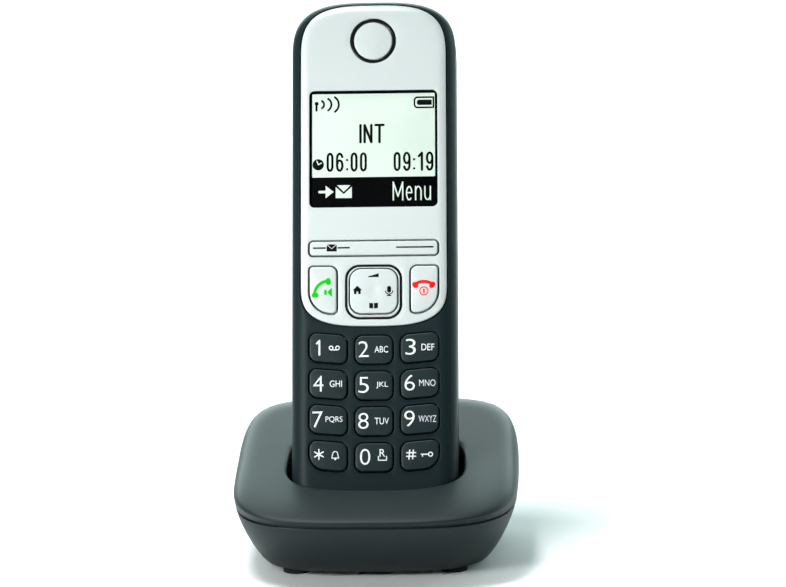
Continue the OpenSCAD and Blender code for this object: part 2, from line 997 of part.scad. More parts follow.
module paging_switch() {
  z0 = floor_z + base_wall + page_flange_h + page_travel + 2 * eps;
  color(steel)
    placed()
      translate([-page_switch_w / 2, page_y - page_switch_w / 2, z0])
        cube([page_switch_w, page_switch_w, page_switch_h]);
}

module base_feet() {
  color(black)
    placed()
      for (sx = [-1, 1])
        for (sy = [-1, 1])
          translate([sx * feet_x, sy * feet_y, 0])
            cylinder(h = floor_z, r = feet_r, $fn = round_fn);
}

module base_screws() {
  head_z = floor_z + eps;
  color(steel)
    placed()
      for (s = [-1, 1])
        translate([s * base_screw_x, base_screw_y, head_z]) {
          cylinder(h = base_screw_head_h - eps, r = base_screw_head_r, $fn = pin_fn);
          cylinder(h = base_screw_end_z - head_z, r = base_screw_r, $fn = pin_fn);
        }
}

// ---------- output ----------
handset_front_shell();
handset_rear_shell();
faceplate();
display_window();
lcd_module();
earpiece_ring();
earpiece_cap();
earpiece_speaker();
handset_board();
keymat();
handset_rf_shield();
handset_antenna();
microphone();
ringer_speaker();
battery_cell_left();
battery_cell_right();
battery_contacts();
battery_door();
handset_charge_pads();
handset_screws();
softkey_bar();
talk_key();
end_key();
nav_bezel();
nav_pivot();
nav_key();
key_1();
key_2();
key_3();
key_4();
key_5();
key_6();
key_7();
key_8();
key_9();
key_star();
key_0();
key_hash();
base_top_shell();
base_bottom_shell();
cradle_insert();
base_board();
base_rf_shield();
base_antenna();
line_jack();
power_jack();
charge_contact_left();
charge_contact_right();
paging_key();
paging_switch();
base_feet();
base_screws();
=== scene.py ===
import json
import math

import bmesh
import bpy
import numpy as np
from mathutils import Matrix, Vector
from mathutils.bvhtree import BVHTree
from mathutils.geometry import delaunay_2d_cdt

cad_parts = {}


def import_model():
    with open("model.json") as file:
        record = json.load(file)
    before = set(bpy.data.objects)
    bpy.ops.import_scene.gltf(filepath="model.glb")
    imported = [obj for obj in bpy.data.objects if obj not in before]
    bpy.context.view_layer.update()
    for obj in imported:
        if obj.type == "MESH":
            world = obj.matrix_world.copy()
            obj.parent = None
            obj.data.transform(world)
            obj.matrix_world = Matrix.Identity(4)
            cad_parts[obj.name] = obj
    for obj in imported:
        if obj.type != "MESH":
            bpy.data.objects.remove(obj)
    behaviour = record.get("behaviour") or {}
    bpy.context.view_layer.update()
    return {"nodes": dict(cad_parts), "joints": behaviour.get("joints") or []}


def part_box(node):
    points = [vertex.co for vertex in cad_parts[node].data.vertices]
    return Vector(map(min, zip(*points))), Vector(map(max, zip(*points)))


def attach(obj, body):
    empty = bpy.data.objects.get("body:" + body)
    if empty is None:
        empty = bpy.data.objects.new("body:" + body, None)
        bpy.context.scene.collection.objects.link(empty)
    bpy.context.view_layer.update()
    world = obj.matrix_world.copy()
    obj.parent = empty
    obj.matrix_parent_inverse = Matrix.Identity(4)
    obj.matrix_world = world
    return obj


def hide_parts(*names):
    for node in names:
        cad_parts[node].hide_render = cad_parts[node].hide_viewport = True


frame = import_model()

MM = 0.001

# ---- frames
# The CAD frame says where the softkey bar rocks; ROCK_N and ROCK_U are that line's depth and height in
# the handset's own millimetres, so they place the handset's own axes in the shared frame.
JOINTS = {j["name"]: j for j in frame["joints"]}
LIFT = Vector(JOINTS["handset_lift"]["axis"]).normalized()
FRONT = Vector((0, -LIFT.z, LIFT.y))
ROCK = Vector(JOINTS["softkey_rock"]["pos_m"]) / MM
ROCK_N, ROCK_U = 7.2, 79.6
HS0 = ROCK - FRONT * ROCK_N - LIFT * ROCK_U
BASE_Y = sum(c[1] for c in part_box("base_feet")) / 2 / MM
FLOOR_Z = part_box("base_feet")[0][2]


def hs(p):
    """Handset point (x, n, u) in mm to the row frame in metres."""
    return (HS0 + Vector((p[0], 0, 0)) + FRONT * p[1] + LIFT * p[2]) * MM


def bs(p):
    """Base point in mm, measured from the base's own middle, to the row frame in metres."""
    return Vector((p[0], p[1] + BASE_Y, p[2])) * MM


def put(name, data):
    """A new object with this data, linked into the scene."""
    ob = bpy.data.objects.new(name, data)
    bpy.context.scene.collection.objects.link(ob)
    return ob


# ---- sizes, mm
# handset: length, depth of its front and back halves from the parting plane, half width
HS_L, HS_F, HS_K, HS_A = 156.73, 10.6, 14.0, 24.5
# superellipses of its top and bottom ends (rise, power), and the power of its rounded edges
TOP_B, TOP_P, BOT_B, BOT_P, EDGE_P = 19.0, 3.2, 12.0, 3.0, 2.2
# how far the outline comes in towards the front: sides, ends, and over what depth at the bottom
FRONT_R, FRONT_END, FRONT_LOW = 5.5, 6.0, 7.6
# the same towards the back: sides, top, bottom, and the flat cut across its lower edge (from, slope)
BACK_R, BACK_TOP, BACK_LOW, BACK_LOW_M, BACK_CUT_M, BACK_CUT = 9.0, 16.0, 8.0, 2.0, 10.0, 5.0
BACK_TOP_B, BACK_BOT_B = 6.0, 5.0
# silver plate: half width, bottom, top, rise of both ends, power of the bottom; how far it stands proud
PLATE_A, PLATE_LO, PLATE_HI = 21.6, 56.4, HS_L - 2.65
PLATE_TB, PLATE_LB, PLATE_LP = 17.5, 13.0, 3.1
PROUD, PLATE_IN = 0.3, 1.0
# earpiece: height, inner and outer radius of its ring
EAR_U, EAR_R0, EAR_R1 = 142.9, 5.75, 6.85
# outlines as left, right, bottom, top
WIN = (-19.0, 19.0, 92.3, 127.7)
SOFT = (-19.0, 19.0, 77.7, 81.9)
TALK = (-19.0, -11.0, 60.3, 74.3)
END = (11.0, 19.0, 60.3, 74.3)
NAV_O = (-8.3, 8.3, 58.5, 74.7)
NAV_I = (-7.05, 7.05, 60.1, 73.5)
DOOR = (-17.4, 17.4, 29.8, 82.2)
LCD = (-18.3, 18.3, 101.6, 127.0)
# dial keys: width, height, pitch across and up, height of the lowest row
DIAL_W, DIAL_H, DIAL_X, DIAL_P, DIAL_U = 11.2, 8.5, 13.5, 10.72, 17.05
# the outer columns sit higher and slant; radius of the corners, and of the two at the handset's bottom
DIAL_UP, DIAL_SLANT, DIAL_R, DIAL_BIG = 0.55, 0.087, 2.4, 4.4
# gaps round the dial keys, the silver keys and the navigation frame, and how far caps sit inside their CAD
GAP, KEY_GAP, NAV_SEAL, CAP_IN = 0.3, 0.5, 0.6, 0.08
KEY_FOOT, TRIM_FOOT = 8.2, 9.7

# base: half sizes, power of its plan, and of the plan's inner edge at the crown
BA, BB = [(hi - lo) / 2 / MM for lo, hi in zip(*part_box("base_top_shell"))][:2]
PLAN_P, CROWN_P = 3.5, 5.0
# parting line: height, gap, how far it comes in
SEAM, SEAM_GAP, SEAM_IN = 17.6, 0.5, 0.45
# inclined top: where the front lip is, its height there, slope towards the back
LIP_Y, LIP_Z, SLOPE = -23.0, 25.2, 0.205
# dome: how far it comes in at the sides and at front and back, power, share of height at its belly
DOME_S, DOME_F, DOME_P, BELLY = 8.4, 16.0, 2.95, 0.27
# bowl below: half sizes of its foot, height of its underside, power, wall
FOOT_A, FOOT_B, FLOOR, BOWL_P, BOWL_WALL = 34.0, 33.1, 1.5, 1.23, 2.0
# slot: half width, depth in front of and behind the parting plane, rise and power of both sides, lip
SLOT_A, SLOT_FN, SLOT_BN = 26.1, 14.4, 15.6
SLOT_FB, SLOT_BB, SLOT_FP, SLOT_BP, SLOT_WALL = 13.4, 12.6, 2.9, 3.3, 1.4


# ---- curves
def even_ts(a, b, p, n):
    """Angles 0..90 that step evenly along a quarter of a superellipse."""
    d = np.linspace(0, 1, 4001)
    t = np.concatenate([d[d < 0.5] ** 3 * 4, 1 - (1 - d[d >= 0.5]) ** 3 * 4]) * np.pi / 2
    x, y = a * np.cos(t) ** (2 / p), b * np.sin(t) ** (2 / p)
    s = np.concatenate([[0], np.cumsum(np.hypot(np.diff(x), np.diff(y)))])
    return np.interp(np.linspace(0, s[-1], n + 1), s, t)


def quarter(a, b, p, ts):
    """Quarter of a superellipse with half axes a and b and power p, from the side to the top."""
    q = np.c_[a * np.cos(ts) ** (2 / p), b * np.maximum(np.sin(ts), 0) ** (2 / p)]
    q[0, 1] = 0.0
    q[-1, 0] = 0.0
    return q


TS_TOP = even_ts(HS_A, TOP_B, TOP_P, 40)
TS_BOT = even_ts(HS_A, BOT_B, BOT_P, 34)
SIDE_STEPS = 46


def mirrored(q):
    """The points run back on the other side, without the one on the middle line."""
    return q[::-1][1:] * [-1, 1]


def long_loop(a, u_hi, b_hi, u_lo, b_lo, p_lo=BOT_P):
    """Closed outline in (x, u), from the right: superellipse top, straight sides, superellipse bottom."""
    top_r = quarter(a, b_hi, TOP_P, TS_TOP) + [0, u_hi - b_hi]
    top_l = mirrored(top_r)
    low_l = quarter(a, b_lo, p_lo, TS_BOT) * [-1, -1] + [0, u_lo + b_lo]
    low_r = mirrored(low_l)
    k = np.linspace(0, 1, SIDE_STEPS + 1)[1:-1, None]
    left = top_l[-1] * (1 - k) + low_l[0] * k
    right = low_r[-1] * (1 - k) + top_r[0] * k
    return np.concatenate([top_r, top_l, left, low_l, low_r, right])


def roll(v, lo, r, p=EDGE_P):
    """How far a rounded edge has come in at height v, when its arc runs from lo to lo + r."""
    k = np.clip((v - lo) / r, 0, 1)
    return 1 - (1 - k ** p) ** (1 / p)


def front_sizes(n):
    """Half width, top, its rise, bottom and its rise of the front half's outline at depth n."""
    at_side = FRONT_R * roll(n, HS_F - FRONT_R, FRONT_R)
    at_top = FRONT_END * roll(n, 0, HS_F)
    at_low = FRONT_END * roll(n, HS_F - FRONT_LOW, FRONT_LOW)
    return HS_A - at_side, HS_L - at_top, TOP_B - at_top, at_low, BOT_B - at_low


def back_sizes(m):
    """The same for the back half, at depth m behind the parting plane."""
    at_side = BACK_R * roll(m, HS_K - BACK_R, BACK_R)
    at_top = BACK_TOP * roll(m, 0, HS_K)
    at_low = BACK_LOW * roll(m, BACK_LOW_M, BACK_LOW) + np.maximum(m - BACK_CUT_M, 0) * BACK_CUT
    b_hi = np.maximum(TOP_B - at_top, BACK_TOP_B)
    return HS_A - at_side, HS_L - at_top, b_hi, at_low, np.maximum(BOT_B - at_low, BACK_BOT_B)


def ring(sizes, depth, g=0.0):
    """Outline of a half at a depth, moved in by g."""
    a, u_hi, b_hi, u_lo, b_lo = sizes(depth)
    return long_loop(a - g, u_hi - g, b_hi - g, u_lo + g, b_lo - g)


def front_ring(n, g=0.0):
    return ring(front_sizes, n, g)


def back_ring(m, g=0.0):
    return ring(back_sizes, m, g)


def inside(pts, loop):
    """Which points lie inside a closed outline."""
    x, y = pts[:, 0], pts[:, 1]
    res = np.zeros(len(pts), bool)
    for (x0, y0), (x1, y1) in zip(loop, np.roll(loop, -1, axis=0)):
        if y0 != y1:
            m = (y0 > y) != (y1 > y)
            res ^= m & (x < (x1 - x0) * (y - y0) / (y1 - y0) + x0)
    return res


def edge_dist(pts, loop):
    """How far points are from a closed outline."""
    best = np.full(len(pts), np.inf)
    for p, q in zip(loop, np.roll(loop, -1, axis=0)):
        d = q - p
        k = np.clip(((pts - p) @ d) / max(d @ d, 1e-12), 0, 1)
        best = np.minimum(best, np.hypot(*(pts - p - k[:, None] * d).T))
    return best


def holds(sizes, pts, depth):
    """Which points (x, u) lie inside the outlines at their depths."""
    a, u_hi, b_hi, u_lo, b_lo = sizes(depth)
    x, u = np.abs(pts[:, 0]) / a, pts[:, 1]
    top = x ** TOP_P + np.maximum((u - (u_hi - b_hi)) / b_hi, 0) ** TOP_P
    low = x ** BOT_P + np.maximum((u_lo + b_lo - u) / b_lo, 0) ** BOT_P
    return (top <= 1) & (low <= 1)


def face_height(sizes, deepest):
    """A function that gives a domed face's height over points (x, u): the last outline that holds each."""
    def height(pts):
        pts = np.asarray(pts, float)
        a, b = np.zeros(len(pts)), np.full(len(pts), deepest)
        whole = holds(sizes, pts, b)
        for _ in range(HALVINGS):
            m = (a + b) / 2
            h = holds(sizes, pts, m)
            a, b = np.where(h, m, a), np.where(h, b, m)
        return np.where(whole, deepest, a)
    return height


HALVINGS = 22
front_face = face_height(front_sizes, HS_F)
back_depth = face_height(back_sizes, HS_K)


def back_face(pts):
    return -back_depth(pts)


def corner(cx, cy, r, t0, n):
    t = np.radians(t0 + 90 * np.arange(n + 1) / n)
    return np.c_[cx + r * np.cos(t), cy + r * np.sin(t)]


def rbox(b, r, g=0.0, n=10, sub=4):
    """Box outline b grown by g, with corner radii r from bottom left round; as many points for any g."""
    c = [corner(b[1] - r[1], b[2] + r[1], max(r[1] + g, 0.02), -90, n),
         corner(b[1] - r[2], b[3] - r[2], max(r[2] + g, 0.02), 0, n),
         corner(b[0] + r[3], b[3] - r[3], max(r[3] + g, 0.02), 90, n),
         corner(b[0] + r[0], b[2] + r[0], max(r[0] + g, 0.02), 180, n)]
    out = []
    for here, after in zip(c, c[1:] + c[:1]):
        k = np.arange(1, sub)[:, None] / sub
        out += [here, here[-1] + (after[0] - here[-1]) * k]
    return np.concatenate(out)


def circle(cx, cy, r, n=64):
    t = 2 * np.pi * np.arange(n) / n
    return np.c_[cx + r * np.cos(t), cy + r * np.sin(t)]


def grid(x0, x1, u0, u1, step):
    xs = np.arange(x0, x1 + 1e-6, step)
    us = np.arange(u0, u1 + 1e-6, step)
    return np.array([(x, u) for x in xs for u in us])


def rounding(*degrees):
    """For steps round a quarter circle: how far each has come in, and how far it is still below the top."""
    return [(1 - math.cos(math.radians(a)), 1 - math.sin(math.radians(a))) for a in degrees]


def lay(loop2, n):
    """2D (x, u) loop at depth n (number or array) as (x, n, u) points."""
    loop2 = np.asarray(loop2)
    n = np.broadcast_to(n, len(loop2))
    return np.c_[loop2[:, 0], n, loop2[:, 1]]


# ---- mesh building
class Sheet:
    """Collects points, loops, strips and panels into one mesh; paint is the material of new faces."""

    def __init__(self):
        self.v, self.f, self.k = [], [], []
        self.paint = 0

    def face(self, ids):
        self.f.append(tuple(ids))
        self.k.append(self.paint)

    def loop(self, pts3):
        i = len(self.v)
        self.v.extend([tuple(map(float, p)) for p in pts3])
        return list(range(i, i + len(pts3)))

    def strip(self, a, b):
        n = len(a)
        for i in range(n):
            k = (i + 1) % n
            self.face((a[i], a[k], b[k], b[i]))

    def wall(self, ids, pts3):
        """Strips from a loop to a new one, whose ids it gives back."""
        new = self.loop(pts3)
        self.strip(ids, new)
        return new

    def loft(self, loops, dark=()):
        """Strips between following loops; those numbered in dark take the second material, black painted
        shade.
        """
        ids = [self.loop(p) for p in loops]
        for i, (a, b) in enumerate(zip(ids, ids[1:])):
            self.paint = 1 if i in dark else 0
            self.strip(a, b)
        self.paint = 0
        return ids

    def fan(self, a, centre):
        c = len(self.v)
        self.v.append(tuple(map(float, centre)))
        for i in range(len(a)):
            self.face((a[i], a[(i + 1) % len(a)], c))

    def lid(self, ids, loop2, n):
        """Closes a loop with a fan, whose centre is the middle of loop2 at depth n."""
        x, u = loop2.mean(axis=0)
        self.fan(ids, (x, n, u))

    def panel(self, outer, holes, inner, height):
        """Fills between outlines with triangles lifted to height; gives back each outline's ids."""
        loops = [outer] + list(holes)
        keep = self.between(inner, loops)
        for lp in loops:
            keep &= edge_dist(inner, lp) > EDGE_CLEAR
        pts = np.concatenate(loops + [inner[keep]])
        starts = np.cumsum([0] + [len(lp) for lp in loops])
        edges = [(i + k, i + (k + 1) % len(lp)) for i, lp in zip(starts, loops) for k in range(len(lp))]
        flat_pts, _, tris, sources, _, _ = delaunay_2d_cdt([Vector(p) for p in pts], edges, [], 0, 1e-7)
        flat_pts = np.array([tuple(p) for p in flat_pts])
        tris = np.array(tris)
        base = len(self.v)
        self.v.extend(tuple(map(float, p)) for p in lay(flat_pts, height(flat_pts)))
        for t in tris[self.between(flat_pts[tris].mean(axis=1), loops)]:
            self.face(base + int(j) for j in t)
        where = {old: base + new for new, olds in enumerate(sources) for old in olds}
        return [[where[i + k] for k in range(len(lp))] for i, lp in zip(starts, loops)]

    @staticmethod
    def between(pts, loops):
        """Which points lie inside the first outline and outside the others."""
        keep = inside(pts, loops[0])
        for h in loops[1:]:
            keep &= ~inside(pts, h)
        return keep

    def make(self, name, place, mat, body, replaces=()):
        """The mesh as a smooth-shaded visible piece with its material, body and replaced CAD nodes."""
        me = bpy.data.meshes.new(name)
        me.from_pydata([place(p) for p in self.v], [], self.f)
        me.polygons.foreach_set("material_index", self.k)
        me.validate()
        ob = put(name, me)
        bm = bmesh.new()
        bm.from_mesh(me)
        loose = [v for v in bm.verts if not v.link_faces]
        bmesh.ops.delete(bm, geom=loose, context="VERTS")
        bmesh.ops.remove_doubles(bm, verts=bm.verts, dist=1e-7)
        bmesh.ops.recalc_face_normals(bm, faces=bm.faces)
        shade(bm)
        bm.to_mesh(me)
        bm.free()
        finish_piece(ob, mat, body, replaces)
        return ob


EDGE_CLEAR = 0.12
SHARP = math.radians(35.0)


def shade(bm):
    for f in bm.faces:
        f.smooth = True
    for e in bm.edges:
        e.smooth = len(e.link_faces) != 2 or e.calc_face_angle(0) < SHARP


def finish_piece(ob, mat, body, replaces=()):
    ob.data.materials.clear()
    for m in mat if isinstance(mat, list) else [mat]:
        ob.data.materials.append(m)
    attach(ob, body)
    if replaces:
        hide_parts(*replaces)


# ---- materials
def lin(*rgb):
    """Linear colour of an sRGB one given in 0 to 255."""
    c = [v / 255 for v in rgb]
    return (*[v / 12.92 if v <= 0.04045 else ((v + 0.055) / 1.055) ** 2.4 for v in c], 1.0)


def noise(nt, vector, size_mm, detail):
    n = nt.nodes.new("ShaderNodeTexNoise")
    n.inputs["Scale"].default_value = 1.0 / (size_mm * MM)
    n.inputs["Detail"].default_value = detail
    nt.links.new(vector, n.inputs["Vector"])
    return n


def material(name, rgb, rough=0.5, metal=0.0, spec=0.5, coat=0.0, grain=0.1, grain_mm=0.2, depth=0.01,
             tint=0.0, emit=0.0, brushed=None):
    """Principled surface with a fine bump (grain) and a slow drift of roughness (tint), in real sizes."""
    m = bpy.data.materials.new(name)
    m.use_nodes = True
    nt = m.node_tree
    shader = nt.nodes["Principled BSDF"]
    values = {"Base Color": lin(*rgb), "Roughness": rough, "Metallic": metal, "Specular IOR Level": spec,
              "Coat Weight": coat, "Coat Roughness": 0.08}
    if emit:
        values.update({"Emission Color": lin(*rgb), "Emission Strength": emit})
    for socket, value in values.items():
        shader.inputs[socket].default_value = value
    place = nt.nodes.new("ShaderNodeTexCoord").outputs["Object"]
    vector = place
    if brushed:
        stretch = nt.nodes.new("ShaderNodeMapping")
        stretch.inputs["Scale"].default_value = brushed
        nt.links.new(place, stretch.inputs["Vector"])
        vector = stretch.outputs["Vector"]
    fine = noise(nt, vector, grain_mm, 3.0)
    fine.inputs["Roughness"].default_value = 0.6
    bump = nt.nodes.new("ShaderNodeBump")
    bump.inputs["Strength"].default_value = grain
    bump.inputs["Distance"].default_value = depth * MM
    nt.links.new(fine.outputs["Fac"], bump.inputs["Height"])
    nt.links.new(bump.outputs["Normal"], shader.inputs["Normal"])
    if tint:
        drift = nt.nodes.new("ShaderNodeMapRange")
        drift.inputs["To Min"].default_value = rough - tint
        drift.inputs["To Max"].default_value = rough + tint
        nt.links.new(noise(nt, place, DRIFT_MM, 4.0).outputs["Fac"], drift.inputs["Value"])
        nt.links.new(drift.outputs["Result"], shader.inputs["Roughness"])
    return m


DRIFT_MM = 30.0
CASING = material("casing", (20, 33, 35), rough=0.5, spec=0.3, grain=0.5, grain_mm=0.28,
                  depth=0.02, tint=0.03)
CASING_HS = material("casing_handset", (20, 34, 37), rough=0.46, spec=0.16, grain=0.35,
                     grain_mm=0.22, depth=0.012, tint=0.03)
KEYS = material("dial_keys", (27, 40, 43), rough=0.4, spec=0.3, grain=0.2, grain_mm=0.15,
                depth=0.008, tint=0.03)
PLATE = material("silver_lacquer", (209, 217, 216), rough=0.38, metal=0.12, grain=0.25,
                 grain_mm=0.12, depth=0.006, tint=0.02)
BLACK = material("black_gloss", (10, 13, 14), rough=0.22, grain_mm=0.3, depth=0.004)
# Painted shade: black on the walls of gaps and openings, where the same plastic would only be in shade. Also
# the plain black of the navigation pivot.
GAP_SHADE_BLACK = material("black_matt_gap_shade", (6, 8, 9), rough=0.6, spec=0.2, grain=0.2, grain_mm=0.3)
INSERT = material("insert_plastic", (20, 27, 29), rough=0.45, spec=0.4, grain=0.4, grain_mm=0.3,
                  depth=0.02)
LCD_PALE = material("lcd_pale", (222, 238, 226), rough=0.5, spec=0.1, emit=0.12,
                    grain_mm=0.22, depth=0.002)
LCD_DARK = material("lcd_dark", (3, 4, 5), rough=0.6, spec=0.03, grain_mm=0.22, depth=0.002)
INK = {"rough": 0.5, "spec": 0.12, "grain": 0.1, "grain_mm": 0.1, "depth": 0.002}
WHITE_INK = material("white_ink", (236, 240, 240), **INK)
BLACK_INK = material("black_ink", (5, 6, 6), rough=0.6, spec=0.1, grain_mm=0.1, depth=0.002)
GREEN_INK = material("green_ink", (6, 190, 14), **INK)
RED_INK = material("red_ink", (250, 22, 18), **INK)
RUBBER = material("rubber", (24, 25, 26), rough=0.8, spec=0.25, grain=0.8, grain_mm=0.4, depth=0.04)
STEEL = material("steel", (150, 152, 154), rough=0.36, metal=1.0, grain=0.25, grain_mm=0.3,
                 depth=0.006, brushed=(1, 12, 1))
GOLD = material("gold", (226, 190, 110), rough=0.25, metal=1.0, grain=0.15, depth=0.004)
BOARD = material("solder_resist", (24, 84, 48), rough=0.4, grain=0.3, grain_mm=0.5)
SILICONE = material("silicone", (140, 146, 150), rough=0.6, spec=0.3, grain=0.3, grain_mm=0.4)
CELL = material("cell_sleeve", (56, 120, 78), rough=0.28, coat=0.3,
                grain_mm=0.6, depth=0.006)


def clear_window():
    """Mostly see-through, with a Fresnel-weighted gloss."""
    m = bpy.data.materials.new("clear_window")
    m.use_nodes = True
    nt = m.node_tree
    nt.nodes.clear()
    out = nt.nodes.new("ShaderNodeOutputMaterial")
    mix = nt.nodes.new("ShaderNodeMixShader")
    fr = nt.nodes.new("ShaderNodeFresnel")
    fr.inputs["IOR"].default_value = 1.13
    tr = nt.nodes.new("ShaderNodeBsdfTransparent")
    gl = nt.nodes.new("ShaderNodeBsdfGlossy")
    gl.inputs["Roughness"].default_value = 0.06
    nt.links.new(fr.outputs["Fac"], mix.inputs["Fac"])
    nt.links.new(tr.outputs["BSDF"], mix.inputs[1])
    nt.links.new(gl.outputs["BSDF"], mix.inputs[2])
    nt.links.new(mix.outputs["Shader"], out.inputs["Surface"])
    return m


CLEAR = clear_window()


# ---- shared outlines
def plate_loop(g):
    return long_loop(PLATE_A + g, PLATE_HI + g, PLATE_TB + g, PLATE_LO - g, PLATE_LB + g, PLATE_LP)


def key_centre(i):
    """Middle of dial key i, counted from the top left."""
    col, row = i % 3 - 1, 3 - i // 3
    return col * DIAL_X, DIAL_U + row * DIAL_P


def dial_loop(i, g):
    cx, cu = key_centre(i)
    r = [DIAL_BIG if i == 9 else DIAL_R, DIAL_BIG if i == 11 else DIAL_R, DIAL_R, DIAL_R]
    q = rbox((cx - DIAL_W / 2, cx + DIAL_W / 2, cu - DIAL_H / 2, cu + DIAL_H / 2), r, g)
    if cx:
        q = q + [0, DIAL_UP]
        q[:, 1] += DIAL_SLANT * (np.abs(q[:, 0]) - DIAL_X)
    return q


def soft_loop(g):
    return rbox(SOFT, (1.1, 1.1, 1.1, 1.1), g)


def talk_loop(g):
    return rbox(TALK, (6.5, 1.2, 2, 1), g)


def end_loop(g):
    return rbox(END, (1.2, 6.5, 1, 2), g)


def nav_out(g):
    return rbox(NAV_O, (4.2,) * 4, g)


def nav_in(g):
    return rbox(NAV_I, (3.4,) * 4, g)


def win_loop(g):
    return rbox(WIN, (1.5,) * 4, g)


def ear_loop(r, g):
    return circle(0, EAR_U, r + g, 96)


def hole_edge(sh, ids, loop_fn, g0, r, height, deep, ledge=0.0):
    """Rounds a panel's hole edge with radius r and takes its wall down to deep below the face; the wall is
    black, painted shade in the opening.
    """
    for c, s in rounding(30, 60, 90):
        q = loop_fn(g0 + r * s)
        ids = sh.wall(ids, lay(q, height(q) - r * c))
    sh.paint = 1
    q = loop_fn(g0)
    foot = height(q) - deep
    ids = sh.wall(ids, lay(q, foot))
    if ledge:
        sh.wall(ids, lay(loop_fn(g0 - ledge), foot))
    sh.paint = 0


# ---- handset front casing
FRONT_LEVELS = [0.5, 1.5, 2.5, 3.5, 4.5, 5.1, 5.4, 5.7, 6.0]
FACE_RINGS = [6.4, 6.9, 7.4, 7.9, 8.4, 8.8, 9.2, 9.5, 9.8, 10.0, 10.2, 10.35, 10.45, 10.53, 10.58, 10.6]
BACK_LEVELS = [0.3, 0.8, 1.5, 2.2, 3.0, 4.0, 5.0, 5.5, 6.0]
LID_RINGS = [12.8, 13.1, 13.4, 13.6, 13.75, 13.86, 13.94, 13.98]
BACK_RINGS = [6.5, 7, 7.5, 8, 8.5, 9, 9.5, 10, 10.5, 11, 11.5, 12, 12.4] + LID_RINGS + [14.0]
SEAM_EDGE = ((1.8, 0.06), (0.22, 0.06), (0.07, 0.13))
DOOR_FLOOR, BAY_FLOOR, GRILLE_FLOOR, SCREW_FLOOR = -12.45, -0.95, -12.2, -12.85


def front_shell():
    sh = Sheet()
    rim = [lay(front_ring(0.0, g), n) for g, n in SEAM_EDGE] + [lay(front_ring(0.3), 0.3)]
    ids = sh.loft(rim + [lay(front_ring(n), n) for n in FRONT_LEVELS])
    inner = np.concatenate([front_ring(n) for n in FACE_RINGS] + [grid(-18, 18, 8, 60, 1.9)])
    plate_gap, e = 0.4, 0.22
    holes = [plate_loop(plate_gap + e)] + [dial_loop(i, GAP + e) for i in range(len(DIAL))]
    got = sh.panel(front_ring(FRONT_LEVELS[-1]), holes, inner, front_face)
    sh.strip(ids[-1], got[0])
    hole_edge(sh, got[1], plate_loop, plate_gap, e, front_face, PLATE_IN, ledge=2.2)
    for i in range(len(DIAL)):
        hole_edge(sh, got[2 + i], lambda g, i=i: dial_loop(i, g), GAP, e, front_face, 1.9)
    sh.make("front_casing", hs, [CASING_HS, GAP_SHADE_BLACK], "handset", ["handset_front_shell"])


def sunk_edge(sh, ids, loop_fn, r, deep):
    """Rounds a hole's edge in the back and takes its wall in to depth deep."""
    for c, s in rounding(30, 60, 90):
        q = loop_fn(r * s)
        ids = sh.wall(ids, lay(q, back_face(q) + r * c))
    return sh.wall(ids, lay(loop_fn(0), deep))


def back_shell():
    """Rear casing, with the battery bay, the ringer's grille and two sunk screws."""
    sh = Sheet()
    rim = [lay(back_ring(0.0, g), -n) for g, n in SEAM_EDGE]
    ids = sh.loft(rim + [lay(back_ring(m), -m) for m in BACK_LEVELS])
    inner = np.concatenate([back_ring(m) for m in BACK_RINGS] + [grid(-15, 15, 14, 136, 3.0)])
    door_r, grille_r, screw_r = 0.2, 0.12, 0.15
    door = lambda g: rbox(DOOR, (1.2,) * 4, g, n=6, sub=10)
    grille = [lambda g, x=x: circle(x, 122, 0.9 + g, 20) for x in (-6, -3, 0, 3, 6)]
    screws = [lambda g, x=x: circle(x, 88, 2.2 + g, 32) for x in (-18.6, 18.6)]
    holes = [door(door_r)] + [f(grille_r) for f in grille] + [f(screw_r) for f in screws]
    got = sh.panel(back_ring(BACK_LEVELS[-1]), holes, inner, back_face)
    sh.strip(ids[-1], got[0])
    low = sunk_edge(sh, got[1], door, door_r, DOOR_FLOOR)
    low = sh.wall(low, lay(door(-1.2), DOOR_FLOOR))
    sh.lid(sh.wall(low, lay(door(-1.2), BAY_FLOOR)), door(0), BAY_FLOOR)
    for ids, f in zip(got[2:7], grille):
        sunk_edge(sh, ids, f, grille_r, GRILLE_FLOOR)
    for ids, f in zip(got[7:], screws):
        sh.lid(sunk_edge(sh, ids, f, screw_r, SCREW_FLOOR), f(0), SCREW_FLOOR)
    sh.make("rear_casing", hs, CASING_HS, "handset", ["handset_rear_shell"])


def door_piece():
    """Battery door, a thin curved lid with three grip grooves."""
    sh = Sheet()
    inward = 0.15
    box = (DOOR[0] + inward, DOOR[1] - inward, DOOR[2] + inward, DOOR[3] - inward)
    door = lambda g: rbox(box, (1.1,) * 4, g, n=6, sub=14)
    under, e = -12.7, 0.25
    loops = [lay(door(-1.0), under), lay(door(0), under), lay(door(0), back_face(door(0)) + e)]
    for c, s in rounding(30, 60):
        loops.append(lay(door(-e * c), back_face(door(-e * c)) + e * s))
    ids = sh.loft(loops)
    inner = np.concatenate([back_ring(m) for m in LID_RINGS] + [grid(-15, 15, 32, 80, 3.0)])
    grip = [lambda g, u=u: rbox((-7, 7, u, u + 1), (0.45,) * 4, g, n=4, sub=6) for u in (74.2, 72.0, 69.8)]
    got = sh.panel(door(-e), [f(0.1) for f in grip], inner, back_face)
    sh.strip(ids[-1], got[0])
    for edge, f in zip(got[1:], grip):
        a = sh.wall(edge, lay(f(0), back_face(f(0)) + 0.12))
        b = sh.wall(a, lay(f(-0.3), back_face(f(-0.3)) + 0.4))
        sh.lid(b, f(0), 0.42 - HS_K)
    sh.lid(ids[0], door(0), under)
    sh.make("battery_door_lid", hs, CASING_HS, "battery_door", ["battery_door"])


def plate_face(pts):
    return front_face(pts) + PROUD


